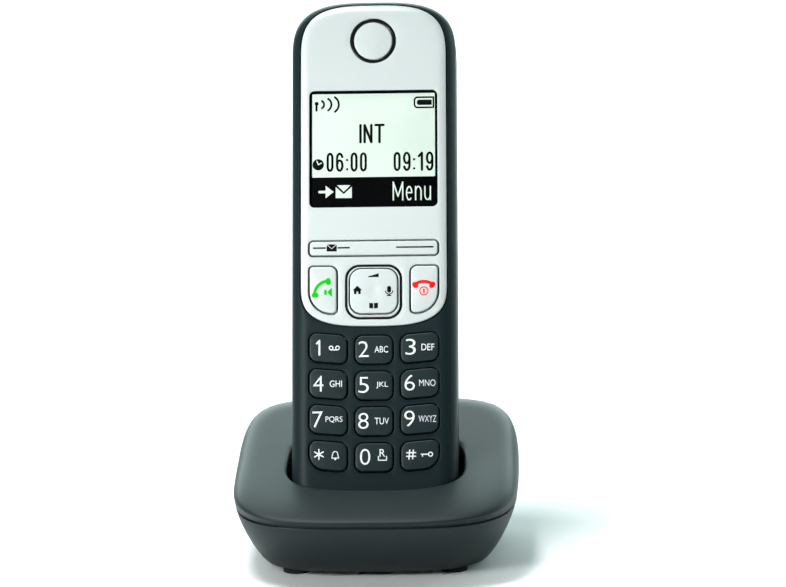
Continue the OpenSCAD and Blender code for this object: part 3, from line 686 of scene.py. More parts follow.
def plate_piece():
    """Silver plate, with the openings for the earpiece, the window and the silver keys."""
    sh = Sheet()
    e, b = 0.3, 0.1
    q = plate_loop(0)
    foot = front_face(q) - 0.75
    loops = [lay(plate_loop(-0.8), foot), lay(q, foot), lay(q, plate_face(q) - e)]
    loops += [lay(plate_loop(-e * c), plate_face(q) - e * s) for c, s in rounding(30, 60)]
    # The plate's outer wall is black, painted shade in the gap round it.
    ids = sh.loft(loops, dark=(0, 1))
    inner = np.concatenate([front_ring(n) for n in FACE_RINGS[2:]] + [grid(-18.4, 18.4, 58, 146, 2.3)])
    shallow, through = 1.2, 2.6
    openings = [(lambda g: circle(0, EAR_U, EAR_R1 + 0.04 + g, 72), 0.0, shallow), (win_loop, 0.1, shallow),
                (soft_loop, KEY_GAP, through), (talk_loop, KEY_GAP, through), (end_loop, KEY_GAP, through),
                (nav_out, 0.2, shallow)]
    got = sh.panel(plate_loop(-e), [f(g0 + b) for f, g0, _ in openings], inner, plate_face)
    sh.strip(ids[-1], got[0])
    for edge, (f, g0, deep) in zip(got[1:], openings):
        hole_edge(sh, edge, f, g0, b, plate_face, deep)
    sh.make("silver_plate", hs, [PLATE, GAP_SHADE_BLACK], "handset", ["faceplate"])


# ---- keys
CAPS = {}
DIAL = ["key_1", "key_2", "key_3", "key_4", "key_5", "key_6", "key_7", "key_8", "key_9", "key_star", "key_0",
        "key_hash"]


def cap_piece(name, node, fn, n0, n_edge, bulge, mat, slot, body=None, r=0.45, dish=(1.0, 0.0)):
    """Key cap from depth n0 to n_edge, with a rounded edge, a bulged top and a round dish if asked."""
    sh = Sheet()
    loops = [lay(fn(-0.6), n0), lay(fn(-CAP_IN), n0), lay(fn(-CAP_IN), n_edge - r)]
    loops += [lay(fn(-CAP_IN - r * c), n_edge - r * s) for c, s in rounding(18, 36, 54, 72, 90)]
    top = fn(-CAP_IN - r)
    middle = (top.max(axis=0) + top.min(axis=0)) / 2
    for k in (0.94, 0.86, 0.76, 0.64, 0.5, 0.36, 0.22, 0.1):
        q = middle + (top - middle) * k
        d = np.hypot(*(q - middle).T) / dish[0]
        loops.append(lay(q, n_edge + bulge * (1 - k * k) - dish[1] * np.clip(1 - d ** 2, 0, 1)))
    # The cap's side wall is black, painted shade in the gap round the key.
    ids = sh.loft(loops, dark=(0, 1))
    sh.fan(ids[-1], (middle[0], n_edge + bulge - dish[1], middle[1]))
    sh.fan(ids[0], (middle[0], n0, middle[1]))
    CAPS[name] = sh.make(name, hs, [mat, GAP_SHADE_BLACK], body or node, [node])


def ring_piece(name, replaces, outer, inner, n0, n1, r, mat, slot):
    """A closed trim ring between two outline functions, with rounded top edges."""
    sh = Sheet()
    loops = [lay(outer(0), n0), lay(outer(0), n1 - r)]
    loops += [lay(outer(-r * c), n1 - r * s) for c, s in rounding(30, 60, 90)]
    loops += [lay(inner(r * c), n1 - r * s) for c, s in rounding(90, 60, 30, 0)]
    loops.append(lay(inner(0), n0))
    # The ring's outer and inner walls are black, painted shade in the gaps beside it.
    ids = sh.loft(loops, dark=(0, 8))
    sh.strip(ids[-1], ids[0])
    sh.make(name, hs, [mat, GAP_SHADE_BLACK], "handset", replaces)


def build_handset():
    front_shell()
    back_shell()
    door_piece()
    plate_piece()
    ring_piece("ear_ring", ["earpiece_ring"], lambda g: ear_loop(EAR_R1, g), lambda g: ear_loop(EAR_R0, g),
               TRIM_FOOT, 10.85, 0.3, BLACK, "black_trim")
    cap_piece("ear_cap", "earpiece_cap", lambda g: ear_loop(EAR_R0 + CAP_IN - 0.03, g), TRIM_FOOT, 10.78,
              0.28, PLATE, "faceplate", "handset", r=0.35)
    silver = (PLATE, "silver_keys")
    cap_piece("soft_bar", "softkey_bar", soft_loop, 8.4, 11.2, 0.12, *silver, r=0.3)
    cap_piece("talk_cap", "talk_key", talk_loop, KEY_FOOT, 11.3, 0.18, *silver, r=0.35)
    cap_piece("end_cap", "end_key", end_loop, KEY_FOOT, 11.3, 0.18, *silver, r=0.35)
    ring_piece("nav_frame", ["nav_bezel"], lambda g: nav_out(g - NAV_SEAL), lambda g: nav_in(0.38 + g),
               TRIM_FOOT, 10.95, 0.12, *silver)
    # A black ring under the gap round the navigation frame, all in painted gap shade, so the gap reads
    # black.
    ring_piece("nav_gap_shade_ring", [], lambda g: nav_out(0.2 + g), lambda g: nav_in(0.37 + g), 9.6, 10.4, 0.1,
               GAP_SHADE_BLACK, "black_trim")
    cap_piece("nav_cap", "nav_key", nav_in, KEY_FOOT, 11.45, 0.2, *silver, r=0.35, dish=(2.1, 0.22))
    for i, key in enumerate(DIAL):
        outline = lambda g, i=i: dial_loop(i, g)
        cap_piece("cap_" + key, key, outline, KEY_FOOT, 11.28, 0.2, KEYS, "keys", r=0.4)


build_handset()


# ---- base
TS_BASE = even_ts(BA, BB, PLAN_P, 72)
TS_SLOT_BACK = even_ts(SLOT_A, SLOT_BB, SLOT_BP, 60)
TS_SLOT_FRONT = even_ts(SLOT_A, SLOT_FB, SLOT_FP, 60)
SLOT_SIDE = 12
SLOT_START = Vector((0, HS0.y - BASE_Y, HS0.z))


def top_z(y):
    return LIP_Z + SLOPE * (y - LIP_Y)


def base_ring(gx, gy, p=PLAN_P):
    """Plan outline of the base in (x, y), moved in by gx and gy."""
    q = quarter(BA - gx, BB - gy, p, TS_BASE)
    half = np.concatenate([q, mirrored(q)])
    return np.concatenate([half, (half[1:-1] * [1, -1])[::-1]])


def level(g, z):
    """Plan outline moved in by g, at height z."""
    q = base_ring(g, g)
    return np.c_[q, np.full(len(q), z)]


def bulge(share, p):
    """Steps along a quarter of a superellipse: how far in, how far up."""
    a = math.pi / 2 * share
    return 1 - math.cos(a) ** (2 / p), math.sin(a) ** (2 / p)


def dome_ring(k):
    """Outline of the dome at share k of its way from the parting line to its crown."""
    z0 = SEAM + SEAM_GAP
    come_in, up = bulge(k, DOME_P)
    q = base_ring(DOME_S * come_in, DOME_F * come_in, PLAN_P + (CROWN_P - PLAN_P) * up)
    return np.c_[q, z0 + (BELLY + (1 - BELLY) * up) * (top_z(q[:, 1]) - z0)]


def bowl_ring(k, g=0.0):
    """Outline of the bowl at share k of its way up to the parting line, moved in by g."""
    up, out = bulge(k, BOWL_P)
    q = base_ring(SEAM_IN + g + (BA - FOOT_A) * (1 - out), SEAM_IN + g + (BB - FOOT_B) * (1 - out))
    return np.c_[q, np.full(len(q), FLOOR + g + (SEAM - FLOOR - g) * up)]


def slot_loop(g):
    """Slot outline across the lean, moved out by g: x and depth behind the handset's parting plane."""
    at_back, at_front = SLOT_BN - SLOT_BB, SLOT_FB - SLOT_FN
    right = quarter(SLOT_A + g, SLOT_BB + g, SLOT_BP, TS_SLOT_BACK) + [0, at_back]
    low = quarter(SLOT_A + g, SLOT_FB + g, SLOT_FP, TS_SLOT_FRONT) * [-1, -1] + [0, at_front]
    k = np.arange(1, SLOT_SIDE)[:, None] / SLOT_SIDE
    side = [-(SLOT_A + g), at_back] * (1 - k) + [-(SLOT_A + g), at_front] * k
    return np.concatenate([right, mirrored(right), side, low, mirrored(low), side[::-1] * [-1, 1]])


def along_lean(g, reach):
    """Slot outline moved out by g, each point carried along the lean by reach of it, in base mm."""
    out = []
    for x, b in slot_loop(g):
        p = SLOT_START - FRONT * b
        q = p + LIFT * reach(p)
        out.append((x, q.y, q.z))
    return np.array(out)


def slot_at_top(g, drop=0.0):
    """Slot outline at drop below the inclined top."""
    return along_lean(g, lambda p: (top_z(p.y) - drop - p.z) / (LIFT.z - SLOPE * LIFT.y))


def slot_down(z):
    """Slot outline at height z, or a little below the handset's end where that is higher."""
    return along_lean(0.0, lambda p: max(-0.6, (z - p.z) / LIFT.z))


def by_angle(loop3, angles, c):
    """Resamples a closed loop at given polar angles about c."""
    t = np.unwrap(np.arctan2(loop3[:, 1] - c[1], loop3[:, 0] - c[0]))
    if t[-1] < t[0]:
        loop3, t = loop3[::-1], t[::-1]
    t3 = np.concatenate([t - 2 * np.pi, t, t + 2 * np.pi])
    l3 = np.concatenate([loop3] * 3)
    return np.c_[[np.interp(angles, t3, l3[:, j]) for j in range(3)]].T


def base_top():
    """Upper shell, from its inner skirt over the dome to the lip of the slot."""
    sh = Sheet()
    z0, e = SEAM + SEAM_GAP, 0.18
    skirt = ((0.85, 1.4), (0.85, 0.02), (SEAM_IN + e, 0.0), (SEAM_IN + 0.05, 0.05), (SEAM_IN * 0.75, e))
    loops = [level(g, z0 + up) for g, up in skirt]
    loops += [dome_ring(k) for k in [0.0, 0.02, 0.05] + list(np.linspace(0.09, 1, 34))]
    crown = loops[-1]
    centre = (0.0, slot_at_top(0)[:, 1].mean())
    angles = np.unwrap(np.arctan2(crown[:, 1] - centre[1], crown[:, 0] - centre[0]))
    lip = by_angle(slot_at_top(SLOT_WALL), angles, centre)
    loops += [crown * (1 - k) + lip * k for k in (0.15, 0.32, 0.5, 0.68, 0.84, 1.0)]
    for g, drop in ((0.95, 0.03), (0.6, 0.13), (0.33, 0.32), (0.12, 0.6), (0.03, 0.9), (0.02, 1.4)):
        loops.append(by_angle(slot_at_top(g, drop), angles, centre))
    sh.loft(loops)
    sh.make("base_cover", bs, CASING, "base", ["base_top_shell"])


def cut_out(ob, boxes):
    """Takes boxes, each given by two corners, out of a piece's mesh."""
    sides = [(3, 2, 1, 0), (4, 5, 6, 7), (0, 1, 5, 4), (1, 2, 6, 5), (2, 3, 7, 6), (3, 0, 4, 7)]
    cutters = []
    for lo, hi in boxes:
        plan = ((lo[0], lo[1]), (hi[0], lo[1]), (hi[0], hi[1]), (lo[0], hi[1]))
        me = bpy.data.meshes.new("cut")
        me.from_pydata([(x, y, z) for z in (lo[2], hi[2]) for x, y in plan], [], sides)
        cutters.append(put("cut", me))
        m = ob.modifiers.new("cut", "BOOLEAN")
        m.object, m.operation, m.solver = cutters[-1], "DIFFERENCE", "EXACT"
    old = ob.data
    me = bpy.data.meshes.new_from_object(ob.evaluated_get(bpy.context.evaluated_depsgraph_get()))
    ob.modifiers.clear()
    ob.data = me
    bpy.data.meshes.remove(old)
    for c in cutters:
        bpy.data.objects.remove(c)
    bm = bmesh.new()
    bm.from_mesh(me)
    shade(bm)
    bm.to_mesh(me)
    bm.free()


def opening(node, g, below, above):
    """Box round a CAD node, g wider on each side, reaching further by below and above; all in mm."""
    lo, hi = [Vector(c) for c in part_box(node)]
    return lo - Vector((g, below[0], below[1])) * MM, hi + Vector((g, above[0], above[1])) * MM


def base_bottom():
    """Lower shell: bowl, rounded rim, tongue and inner wall, open for the sockets and the paging key."""
    sh = Sheet()
    e = 0.3
    edge = ((SEAM_IN + 0.03, -e), (SEAM_IN + 0.1, -0.08), (SEAM_IN + e, 0.0))
    tongue = ((1.02, 0.0), (1.02, 1.4), (2.0, 1.4))
    loops = [bowl_ring(k) for k in np.linspace(0.0, 0.93, 26)]
    loops += [level(g, SEAM + up) for g, up in edge + tongue]
    ids = sh.loft(loops + [bowl_ring(k, BOWL_WALL) for k in np.linspace(1.0, 0.0, 14)])
    sh.fan(ids[0], (0, 0, FLOOR))
    sh.fan(ids[-1], (0, 0, FLOOR + BOWL_WALL))
    ob = sh.make("base_tray", bs, CASING, "base", ["base_bottom_shell"])
    sockets = [opening(n, 0.2, (0, 0.2), (20, 0.2)) for n in ("line_jack", "power_jack")]
    cut_out(ob, sockets + [opening("paging_key", -0.35, (-0.35, 10), (-0.35, 2))])


def insert_piece():
    """Lining of the slot, from under its lip down to the floor that the handset stands on."""
    sh = Sheet()
    outside = SLOT_WALL - 0.05
    rim = ((outside, 3.4), (outside, 1.4), (outside - 0.15, 1.25), (0.25, 1.25), (0.07, 1.32), (0.0, 1.5))
    rows = [slot_at_top(g, drop) for g, drop in rim] + [slot_down(z) for z in (20, 17, 14, 12, 10.1)]
    ids = sh.loft(rows)
    low = rows[-1]
    sh.fan(ids[-1], (0, low[:, 1].mean(), low[:, 2].min()))
    sh.make("cradle_lining", bs, INSERT, "base", ["cradle_insert"])


base_top()
base_bottom()
insert_piece()


# ---- printed legends
def poly(*pts):
    return [list(pts)]


def rect(x0, x1, u0, u1):
    return [[(x0, u0), (x1, u0), (x1, u1), (x0, u1)]]


def disc(cx, cu, r, n=28):
    return [[tuple(p) for p in circle(cx, cu, r, n)]]


def arc(cx, cu, r, w, a0, a1, n=20):
    """Stroke of width w along an arc, as a row of small quads."""
    t = np.radians(np.linspace(a0, a1, n + 1))
    o, i = [[(cx + k * math.cos(a), cu + k * math.sin(a)) for a in t] for k in (r + w / 2, r - w / 2)]
    return [[o[k], o[k + 1], i[k + 1], i[k]] for k in range(n)]


def stroke(pts, w):
    """Stroke of width w through points, with round joints."""
    out = []
    for (x0, u0), (x1, u1) in zip(pts, pts[1:]):
        d = Vector((x1 - x0, u1 - u0)).normalized() * (w / 2)
        out.append([(x0 + d.y, u0 - d.x), (x1 + d.y, u1 - d.x), (x1 - d.y, u1 + d.x), (x0 - d.y, u0 + d.x)])
    for p in pts:
        out += disc(p[0], p[1], w / 2, 12)
    return out


def text(words, cx, cu, h, w, bold=0.0):
    """Built-in lettering, h tall and w wide over all, centred at (cx, cu)."""
    curve = bpy.data.curves.new("words", "FONT")
    curve.body = words
    curve.size = 10.0
    curve.resolution_u = 5
    curve.offset = bold
    ob = put("words", curve)
    me = bpy.data.meshes.new_from_object(ob.evaluated_get(bpy.context.evaluated_depsgraph_get()))
    v = np.array([p.co[:2] for p in me.vertices])
    faces = [[int(i) for i in p.vertices] for p in me.polygons]
    bpy.data.objects.remove(ob)
    bpy.data.curves.remove(curve)
    bpy.data.meshes.remove(me)
    lo, hi = v.min(axis=0), v.max(axis=0)
    v = (v - (lo + hi) / 2) * np.array([w, h]) / (hi - lo) + [cx, cu]
    return [[tuple(v[i]) for i in f] for f in faces]


def bow(cx, cy, rx, ry, a0, a1, n=14):
    """Points along part of an ellipse."""
    t = np.radians(np.linspace(a0, a1, n + 1))
    return [(cx + rx * math.cos(a), cy + ry * math.sin(a)) for a in t]


SIX = [bow(0.5, 0.3, 0.5, 0.3, 180, 540, 24), [(0, 0.3), (0, 0.68)] + bow(0.5, 0.7, 0.5, 0.3, 180, 20)]
# width of each drawn letter over its height, and its strokes in a unit box
GLYPHS = {
    "0": (0.27, [bow(0.5, 0.76, 0.5, 0.24, 0, 180) + bow(0.5, 0.24, 0.5, 0.24, 180, 360) + [(1, 0.76)]]),
    "1": (0.2, [[(0, 0.8), (0.9, 1), (0.9, 0)]]),
    "6": (0.31, SIX),
    "9": (0.31, [[(1 - x, 1 - y) for x, y in line] for line in SIX]),
    ":": (0.0, [[(0, 0.08), (0, 0.081)], [(0, 0.62), (0, 0.621)]]),
    "I": (0.0, [[(0, 0), (0, 1)]]),
    "N": (0.38, [[(0, 0), (0, 1), (1, 0), (1, 1)]]),
    "T": (0.46, [[(0, 1), (1, 1)], [(0.5, 1), (0.5, 0)]]),
    "M": (0.52, [[(0, 0), (0, 1), (0.5, 0.2), (1, 1), (1, 0)]]),
    "e": (0.29, [[(0, 0.4), (1, 0.4)] + bow(0.5, 0.37, 0.5, 0.37, 5, 310, 20)]),
    "n": (0.3, [[(0, 0), (0, 0.74)], bow(0.5, 0.44, 0.5, 0.3, 180, 0) + [(1, 0)]]),
    "u": (0.3, [[(0, 0.74), (0, 0.3)] + bow(0.5, 0.3, 0.5, 0.3, 180, 360) + [(1, 0.74), (1, 0)]]),
}


def drawn(words, cx, cu, h, w=0.5, gap=0.25):
    """Narrow lettering of stroke width w, centred at (cx, cu) and h tall over all."""
    tall = h - w
    wide = [GLYPHS[c][0] * tall for c in words]
    x = cx - (sum(wide) + gap * tall * (len(words) - 1)) / 2
    out = []
    for c, k in zip(words, wide):
        for line in GLYPHS[c][1]:
            out += stroke([(x + px * k, cu + (py - 0.5) * tall) for px, py in line], w)
        x += k + gap * tall
    return out


def moved(shapes, dx, du):
    return [[(x + dx, u + du) for x, u in s] for s in shapes]


def flat_union(shapes, step):
    """The union of flat shapes as triangles with edges of about step at most, in a bmesh; u is its z."""
    v, f = [], []
    for s in shapes:
        a = sum(p[0] * q[1] - q[0] * p[1] for p, q in zip(s, s[1:] + s[:1]))
        if abs(a) > 1e-7:
            f.append(list(range(len(v), len(v) + len(s))))
            v += [Vector(p) for p in (s if a > 0 else s[::-1])]
    flat_pts, _, tris, _, _, came_from = delaunay_2d_cdt(v, [], f, 1, 1e-5)
    bm = bmesh.new()
    bv = [bm.verts.new((p.x, 0, p.y)) for p in flat_pts]
    for t, shape in zip(tris, came_from):
        if shape:
            bm.faces.new([bv[i] for i in t])
    for _ in range(3):
        far = [e for e in bm.edges if e.calc_length() > step]
        if far:
            bmesh.ops.subdivide_edges(bm, edges=far, cuts=1)
            bmesh.ops.triangulate(bm, faces=[q for q in bm.faces if len(q.verts) > 3])
    bmesh.ops.delete(bm, geom=[q for q in bm.verts if not q.link_faces], context="VERTS")
    return bm


def rest_on(bm, under, up):
    """Lifts each point to up above the highest object under it, or above the print's top if none is."""
    trees = [BVHTree.FromPolygons([p.co.copy() for p in o.data.vertices],
                                  [tuple(p.vertices) for p in o.data.polygons]) for o in under]
    top = {}
    for q in bm.verts:
        hits = [t.ray_cast(hs((q.co.x, ABOVE, q.co.z)), -FRONT) for t in trees]
        far = [h[3] for h in hits if h[0] is not None]
        top[q] = ABOVE - min(far) / MM if far else None
    highest = max(n for n in top.values() if n is not None)
    for q, n in top.items():
        q.co.y = (highest if n is None else n) + up


def thicken(bm, down):
    """Adds a wall down from the open edge."""
    edge = [e for e in bm.edges if len(e.link_faces) == 1]
    low = {}
    for e in edge:
        for q in e.verts:
            if q not in low:
                low[q] = bm.verts.new((q.co.x, q.co.y - down, q.co.z))
    for e in edge:
        a, b = e.link_loops[0].vert, e.link_loops[0].link_loop_next.vert
        bm.faces.new((b, a, low[a], low[b]))


ABOVE, PRINT_UP = 30.0, 0.012


def ink(name, shapes, under, body, mat, up=PRINT_UP, deep=0.05, step=0.9):
    """Union of flat shapes, laid as a thin printed layer on the surfaces of the objects under it."""
    bm = flat_union(shapes, step)
    rest_on(bm, under, up)
    thicken(bm, up + deep)
    for q in bm.verts:
        q.co = hs(q.co)
    bmesh.ops.recalc_face_normals(bm, faces=bm.faces)
    me = bpy.data.meshes.new(name)
    bm.to_mesh(me)
    bm.free()
    if sum((p.normal * p.area for p in me.polygons), Vector()).dot(FRONT) < 0:
        me.flip_normals()
    finish_piece(put(name, me), mat, body)


def handset_icon(half):
    """A telephone handle seen from the side: a bow over half each way, with a thicker block at each end."""
    r, w = 4.4, 0.95
    s = arc(0, 0, r, w, 90 - half, 90 + half, 18)
    for a in (90 - half, 90 + half):
        t = math.radians(a)
        s += stroke([(k * math.cos(t), k * math.sin(t)) for k in (r + 0.1, r - 0.5)], w * 1.6)
    return moved(s, 0, -r)


def turned(shapes, deg):
    c, s = math.cos(math.radians(deg)), math.sin(math.radians(deg))
    return [[(x * c - u * s, x * s + u * c) for x, u in q] for q in shapes]


# dial legend: digit and its middle's x on the key, then the small word with its middle's x and its width
DIGIT_H, DIGIT_W, WORD_H = 4.75, 3.05, 1.95
LEGENDS = {
    "key_1": ("1", -2.9), "key_0": ("0", -2.6),
    "key_2": ("2", -3.0, "ABC", 2.25, 4.0), "key_3": ("3", -2.6, "DEF", 2.5, 3.8),
    "key_4": ("4", -2.9, "GHI", 2.3, 3.6), "key_5": ("5", -3.0, "JKL", 2.45, 3.5),
    "key_6": ("6", -2.9, "MNO", 2.3, 4.8), "key_7": ("7", -3.1, "PQRS", 1.75, 5.0),
    "key_8": ("8", -3.1, "TUV", 2.35, 4.2), "key_9": ("9", -3.0, "WXYZ", 2.3, 5.2),
}


def print_voicemail(cx, cu):
    s = stroke([(cx + 0.9, cu - 0.6), (cx + 2.8, cu - 0.6)], 0.3)
    for x in (0.9, 2.8):
        s += arc(cx + x, cu, 0.55, 0.32, 0, 360, 18)
    return s


def print_star(cx, cu):
    """A star of three strokes, and a small bell."""
    s = []
    for a in (90, 150, 210):
        t = math.radians(a)
        dx, du = 1.45 * math.cos(t), 1.45 * math.sin(t)
        s += stroke([(cx - 2.7 - dx, cu + 0.4 - du), (cx - 2.7 + dx, cu + 0.4 + du)], 0.38)
    x, u = cx + 2.1, cu + 0.5
    s += arc(x, u, 0.72, 0.28, 0, 180, 12)
    low = u - 1.25
    for k in (-1, 1):
        s += stroke([(x + k * 0.72, u), (x + k * 1.02, low)], 0.28)
    s += stroke([(x - 1.02, low), (x + 1.02, low)], 0.28)
    return s + disc(x, u - 1.6, 0.3, 12)


def print_recall(cx, cu):
    tray = [(1.3, 0.2), (1.3, -0.95), (3.7, -0.95), (3.7, 0.2)]
    return text("R", cx + 2.5, cu + 1.2, 2.3, 1.7, 0.03) + stroke([(cx + x, cu + u) for x, u in tray], 0.32)


def print_hash(cx, cu):
    """A hash, and a small key."""
    s = []
    for k in (-0.53, 0.53):
        s += stroke([(cx - 2.67 + k, cu - 1.2), (cx - 2.43 + k, cu + 1.45)], 0.36)
        s += stroke([(cx - 3.85, cu + 0.12 + k), (cx - 1.25, cu + 0.12 + k)], 0.36)
    u = cu + 0.15
    s += stroke([(cx + 0.4, u), (cx + 2.6, u)], 0.34) + stroke([(cx + 0.8, u), (cx + 0.8, u - 0.6)], 0.34)
    return s + arc(cx + 3.15, u, 0.6, 0.34, 0, 360, 18)


ICONS = {"key_1": print_voicemail, "key_star": print_star, "key_0": print_recall, "key_hash": print_hash}


def dial_prints(key, cx, cu):
    """The printed shapes of one dial key, whose middle is (cx, cu)."""
    s = ICONS[key](cx, cu) if key in ICONS else []
    if key not in LEGENDS:
        return s
    digit, dx = LEGENDS[key][:2]
    if digit == "1":
        s += drawn(digit, cx + dx, cu + 0.1, DIGIT_H, 0.52)
    else:
        s += text(digit, cx + dx, cu + 0.1, DIGIT_H, DIGIT_W, -0.1)
    if key not in ICONS:
        word, dx, wide = LEGENDS[key][2:]
        thin = "M" in word or "W" in word
        s += text(word, cx + dx, cu, WORD_H, wide, -0.08 if thin else 0.02)
    return s


def print_talk():
    s = moved(turned(handset_icon(42.0), 46), -16.3, 68.6) + rect(-14.65, -13.85, 65.75, 67.25)
    return s + poly((-13.65, 66.3), (-12.3, 65.1), (-12.3, 67.9), (-13.65, 66.7))


def print_end():
    s = moved(handset_icon(37.0), 14.85, 69.45) + arc(14.9, 66.6, 1.2, 0.36, 0, 360, 28)
    return s + stroke([(14.9, 66.1), (14.9, 67.1)], 0.5)


def print_soft(u):
    """A dash, an envelope and a dash on the left, one long dash on the right."""
    s = []
    for x0, x1 in ((-17.8, -14.3), (-10.5, -7.2), (6.9, 17.6)):
        s += stroke([(x0, u), (x1, u)], 0.46)
    return s + envelope(-12.4, u, 3.0, 2.15, 0.13)


def print_nav():
    """Volume wedge, house, microphone and open book round the navigation key."""
    s = poly((-1.6, 70.9), (1.55, 70.9), (1.55, 72.1), (0.6, 71.75), (-1.6, 71.15))
    s += poly((-6.2, 67.0), (-3.4, 67.0), (-4.8, 68.35)) + rect(-5.8, -5.05, 65.85, 67.0)
    s += rect(-4.55, -3.8, 65.85, 67.0) + rect(-5.05, -4.55, 66.6, 67.0)
    s += rect(4.0, 5.2, 66.75, 67.6) + disc(4.6, 67.6, 0.6, 16) + disc(4.6, 66.75, 0.6, 16)
    s += rect(4.42, 4.78, 65.3, 65.9) + rect(3.95, 5.25, 65.15, 65.5)
    s += arc(4.6, 66.85, 1.1, 0.3, 180, 360, 14)
    for k in (-1, 1):
        s += poly((k * 1.3, 61.6), (k * 0.12, 61.45), (k * 0.12, 63.05), (k * 1.3, 63.2))
    return s


def build_legends():
    for i, key in enumerate(DIAL):
        cx, cu = key_centre(i)
        shapes = dial_prints(key, cx, cu + DIAL_UP if cx else cu)
        ink("print_" + key, shapes, [CAPS["cap_" + key]], key, WHITE_INK)
    ink("print_soft", print_soft(79.9), [CAPS["soft_bar"]], "softkey_bar", BLACK_INK)
    ink("print_talk", print_talk(), [CAPS["talk_cap"]], "talk_key", GREEN_INK)
    ink("print_end", print_end(), [CAPS["end_cap"]], "end_key", RED_INK)
    ink("print_nav", print_nav(), [CAPS["nav_cap"]], "nav_key", BLACK_INK)


def envelope(cx, cu, w, h, line):
    """A filled letter with its flap left open as a V."""
    x0, x1, u0, u1 = cx - w / 2, cx + w / 2, cu - h / 2, cu + h / 2
    m = cu - h * 0.12
    body = [(x0, u0), (x1, u0), (x1, u1 - line * 1.2), (cx, m - line * 0.7), (x0, u1 - line * 1.2)]
    return [[(x0 + line, u1), (x1 - line, u1), (cx, m + line)], body]


build_legends()


# ---- display
def slab(name, fn, n0, n1, r, mat, replaces=()):
    """Closed plate between two depths with a rounded front edge."""
    sh = Sheet()
    loops = [lay(fn(0), n0), lay(fn(0), n1 - r)]
    ids = sh.loft(loops + [lay(fn(-r * c), n1 - r * s) for c, s in rounding(30, 60, 90)])
    sh.lid(ids[-1], fn(0), n1)
    sh.lid(ids[0], fn(0), n0)
    return sh.make(name, hs, mat, "handset", replaces)


def screen_icons():
    """Signal strength and battery at the top of the screen."""
    s = disc(-16.95, 124.1, 0.6, 16) + stroke([(-17.0, 123.8), (-17.0, 122.0)], 0.62)
    for x, r, half in ((-14.75, 1.25, 72), (-12.55, 2.1, 64), (-10.35, 2.7, 60)):
        s += arc(x - r, 123.8, r, 0.6, -half, half, 16)
    case = [(12.8, 122.6), (12.25, 123.2), (12.25, 125.1), (12.8, 125.7), (17.9, 125.7), (17.9, 122.6)]
    fill = [(13.4, 123.35), (12.95, 123.8), (12.95, 124.5), (13.4, 124.95), (17.4, 124.95), (17.4, 123.35)]
    return s + stroke(case + case[:1], 0.5) + poly(*fill)


def screen_words():
    """Name line, alarm clock and the two times."""
    s = drawn("INT", -0.45, 114.8, 5.95, w=0.75, gap=0.24) + disc(-16.5, 105.5, 1.7, 32)
    for words, x in (("06:00", -8.0), ("09:19", 11.9)):
        s += drawn(words, x, 106.2, 5.85, w=0.7, gap=0.27)
    return s


def screen_menu():
    """Arrow, envelope and menu word in the dark line."""
    s = stroke([(-16.1, 97.2), (-14.0, 97.2)], 0.8) + poly((-14.3, 95.3), (-11.9, 97.2), (-14.3, 99.1))
    return s + envelope(-8.9, 97.25, 4.8, 3.9, 0.4) + drawn("Menu", 11.35, 97.25, 5.8, w=0.4, gap=0.21)


def build_display():
    slab("lens", win_loop, 9.72, 10.84, 0.12, CLEAR, ["display_window"])
    back = slab("display_mask", lambda g: win_loop(g - 0.02), 8.75, 9.6, 0.05, LCD_DARK,
                ["lcd_module"])
    glass = slab("display_pale", lambda g: rbox(LCD, (0.3,) * 4, g), 9.55, 9.63, 0.02, LCD_PALE)
    flat = {"deep": 0.03, "step": 9}
    ink("display_print", screen_icons() + screen_words(), [glass], "handset", BLACK_INK, **flat)
    hands = stroke([(-16.9, 106.6), (-16.45, 105.5), (-15.6, 106.0)], 0.32)
    ink("display_hands", hands, [glass], "handset", LCD_PALE, up=2 * PRINT_UP, **flat)
    ink("display_band", screen_menu(), [back], "handset", LCD_PALE, **flat)


build_display()

# ---- the frame's own nodes
NODE_MATERIALS = (
    (BOARD, ("handset_board", "base_board")),
    (SILICONE, ("keymat",)),
    (STEEL, ("handset_rf_shield", "base_rf_shield", "microphone", "handset_screws", "base_screws")),
    (GOLD, ("handset_antenna", "base_antenna", "battery_contacts", "handset_charge_pads",
            "charge_contact_left", "charge_contact_right")),
    (BLACK, ("earpiece_speaker", "ringer_speaker", "line_jack", "power_jack", "paging_switch")),
    (CELL, ("battery_cell_left", "battery_cell_right")),
    (CASING, ("paging_key",)),
    (RUBBER, ("base_feet",)),
    (GAP_SHADE_BLACK, ("nav_pivot",)),
)
BEVEL = {"paging_key": 0.25, "base_feet": 0.3, "line_jack": 0.25, "power_jack": 0.25,
         "handset_charge_pads": 0.08, "handset_screws": 0.12, "base_screws": 0.15,
         "charge_contact_left": 0.15, "charge_contact_right": 0.15}


def round_edges(ob, width):
    ob.modifiers.new("weld", "WELD").merge_threshold = 1e-6
    b = ob.modifiers.new("bevel", "BEVEL")
    b.width = width
    b.segments = 3
    b.limit_method = "ANGLE"
    b.angle_limit = math.radians(50)
    b.harden_normals = True


def dress_nodes():
    """Materials, and small rounded edges, for the CAD nodes that show as they are."""
    for mat, names in NODE_MATERIALS:
        for name in names:
            ob = frame["nodes"][name]
            ob.data.materials.clear()
            ob.data.materials.append(mat)
            if name in BEVEL:
                round_edges(ob, BEVEL[name] * MM)


dress_nodes()


# ---- floor, light, camera
def floor():
    s = 6.0
    me = bpy.data.meshes.new("floor")
    me.from_pydata([(x, y, FLOOR_Z) for x, y in ((-s, -s), (s, -s), (s, s), (-s, s))], [], [(0, 1, 2, 3)])
    pale = material("floor_pale", (252, 253, 253), rough=0.9, spec=0.1, grain=0.02, grain_mm=2.0)
    me.materials.append(pale)
    put("floor", me)


COOL = (0.8, 1.0, 0.98)


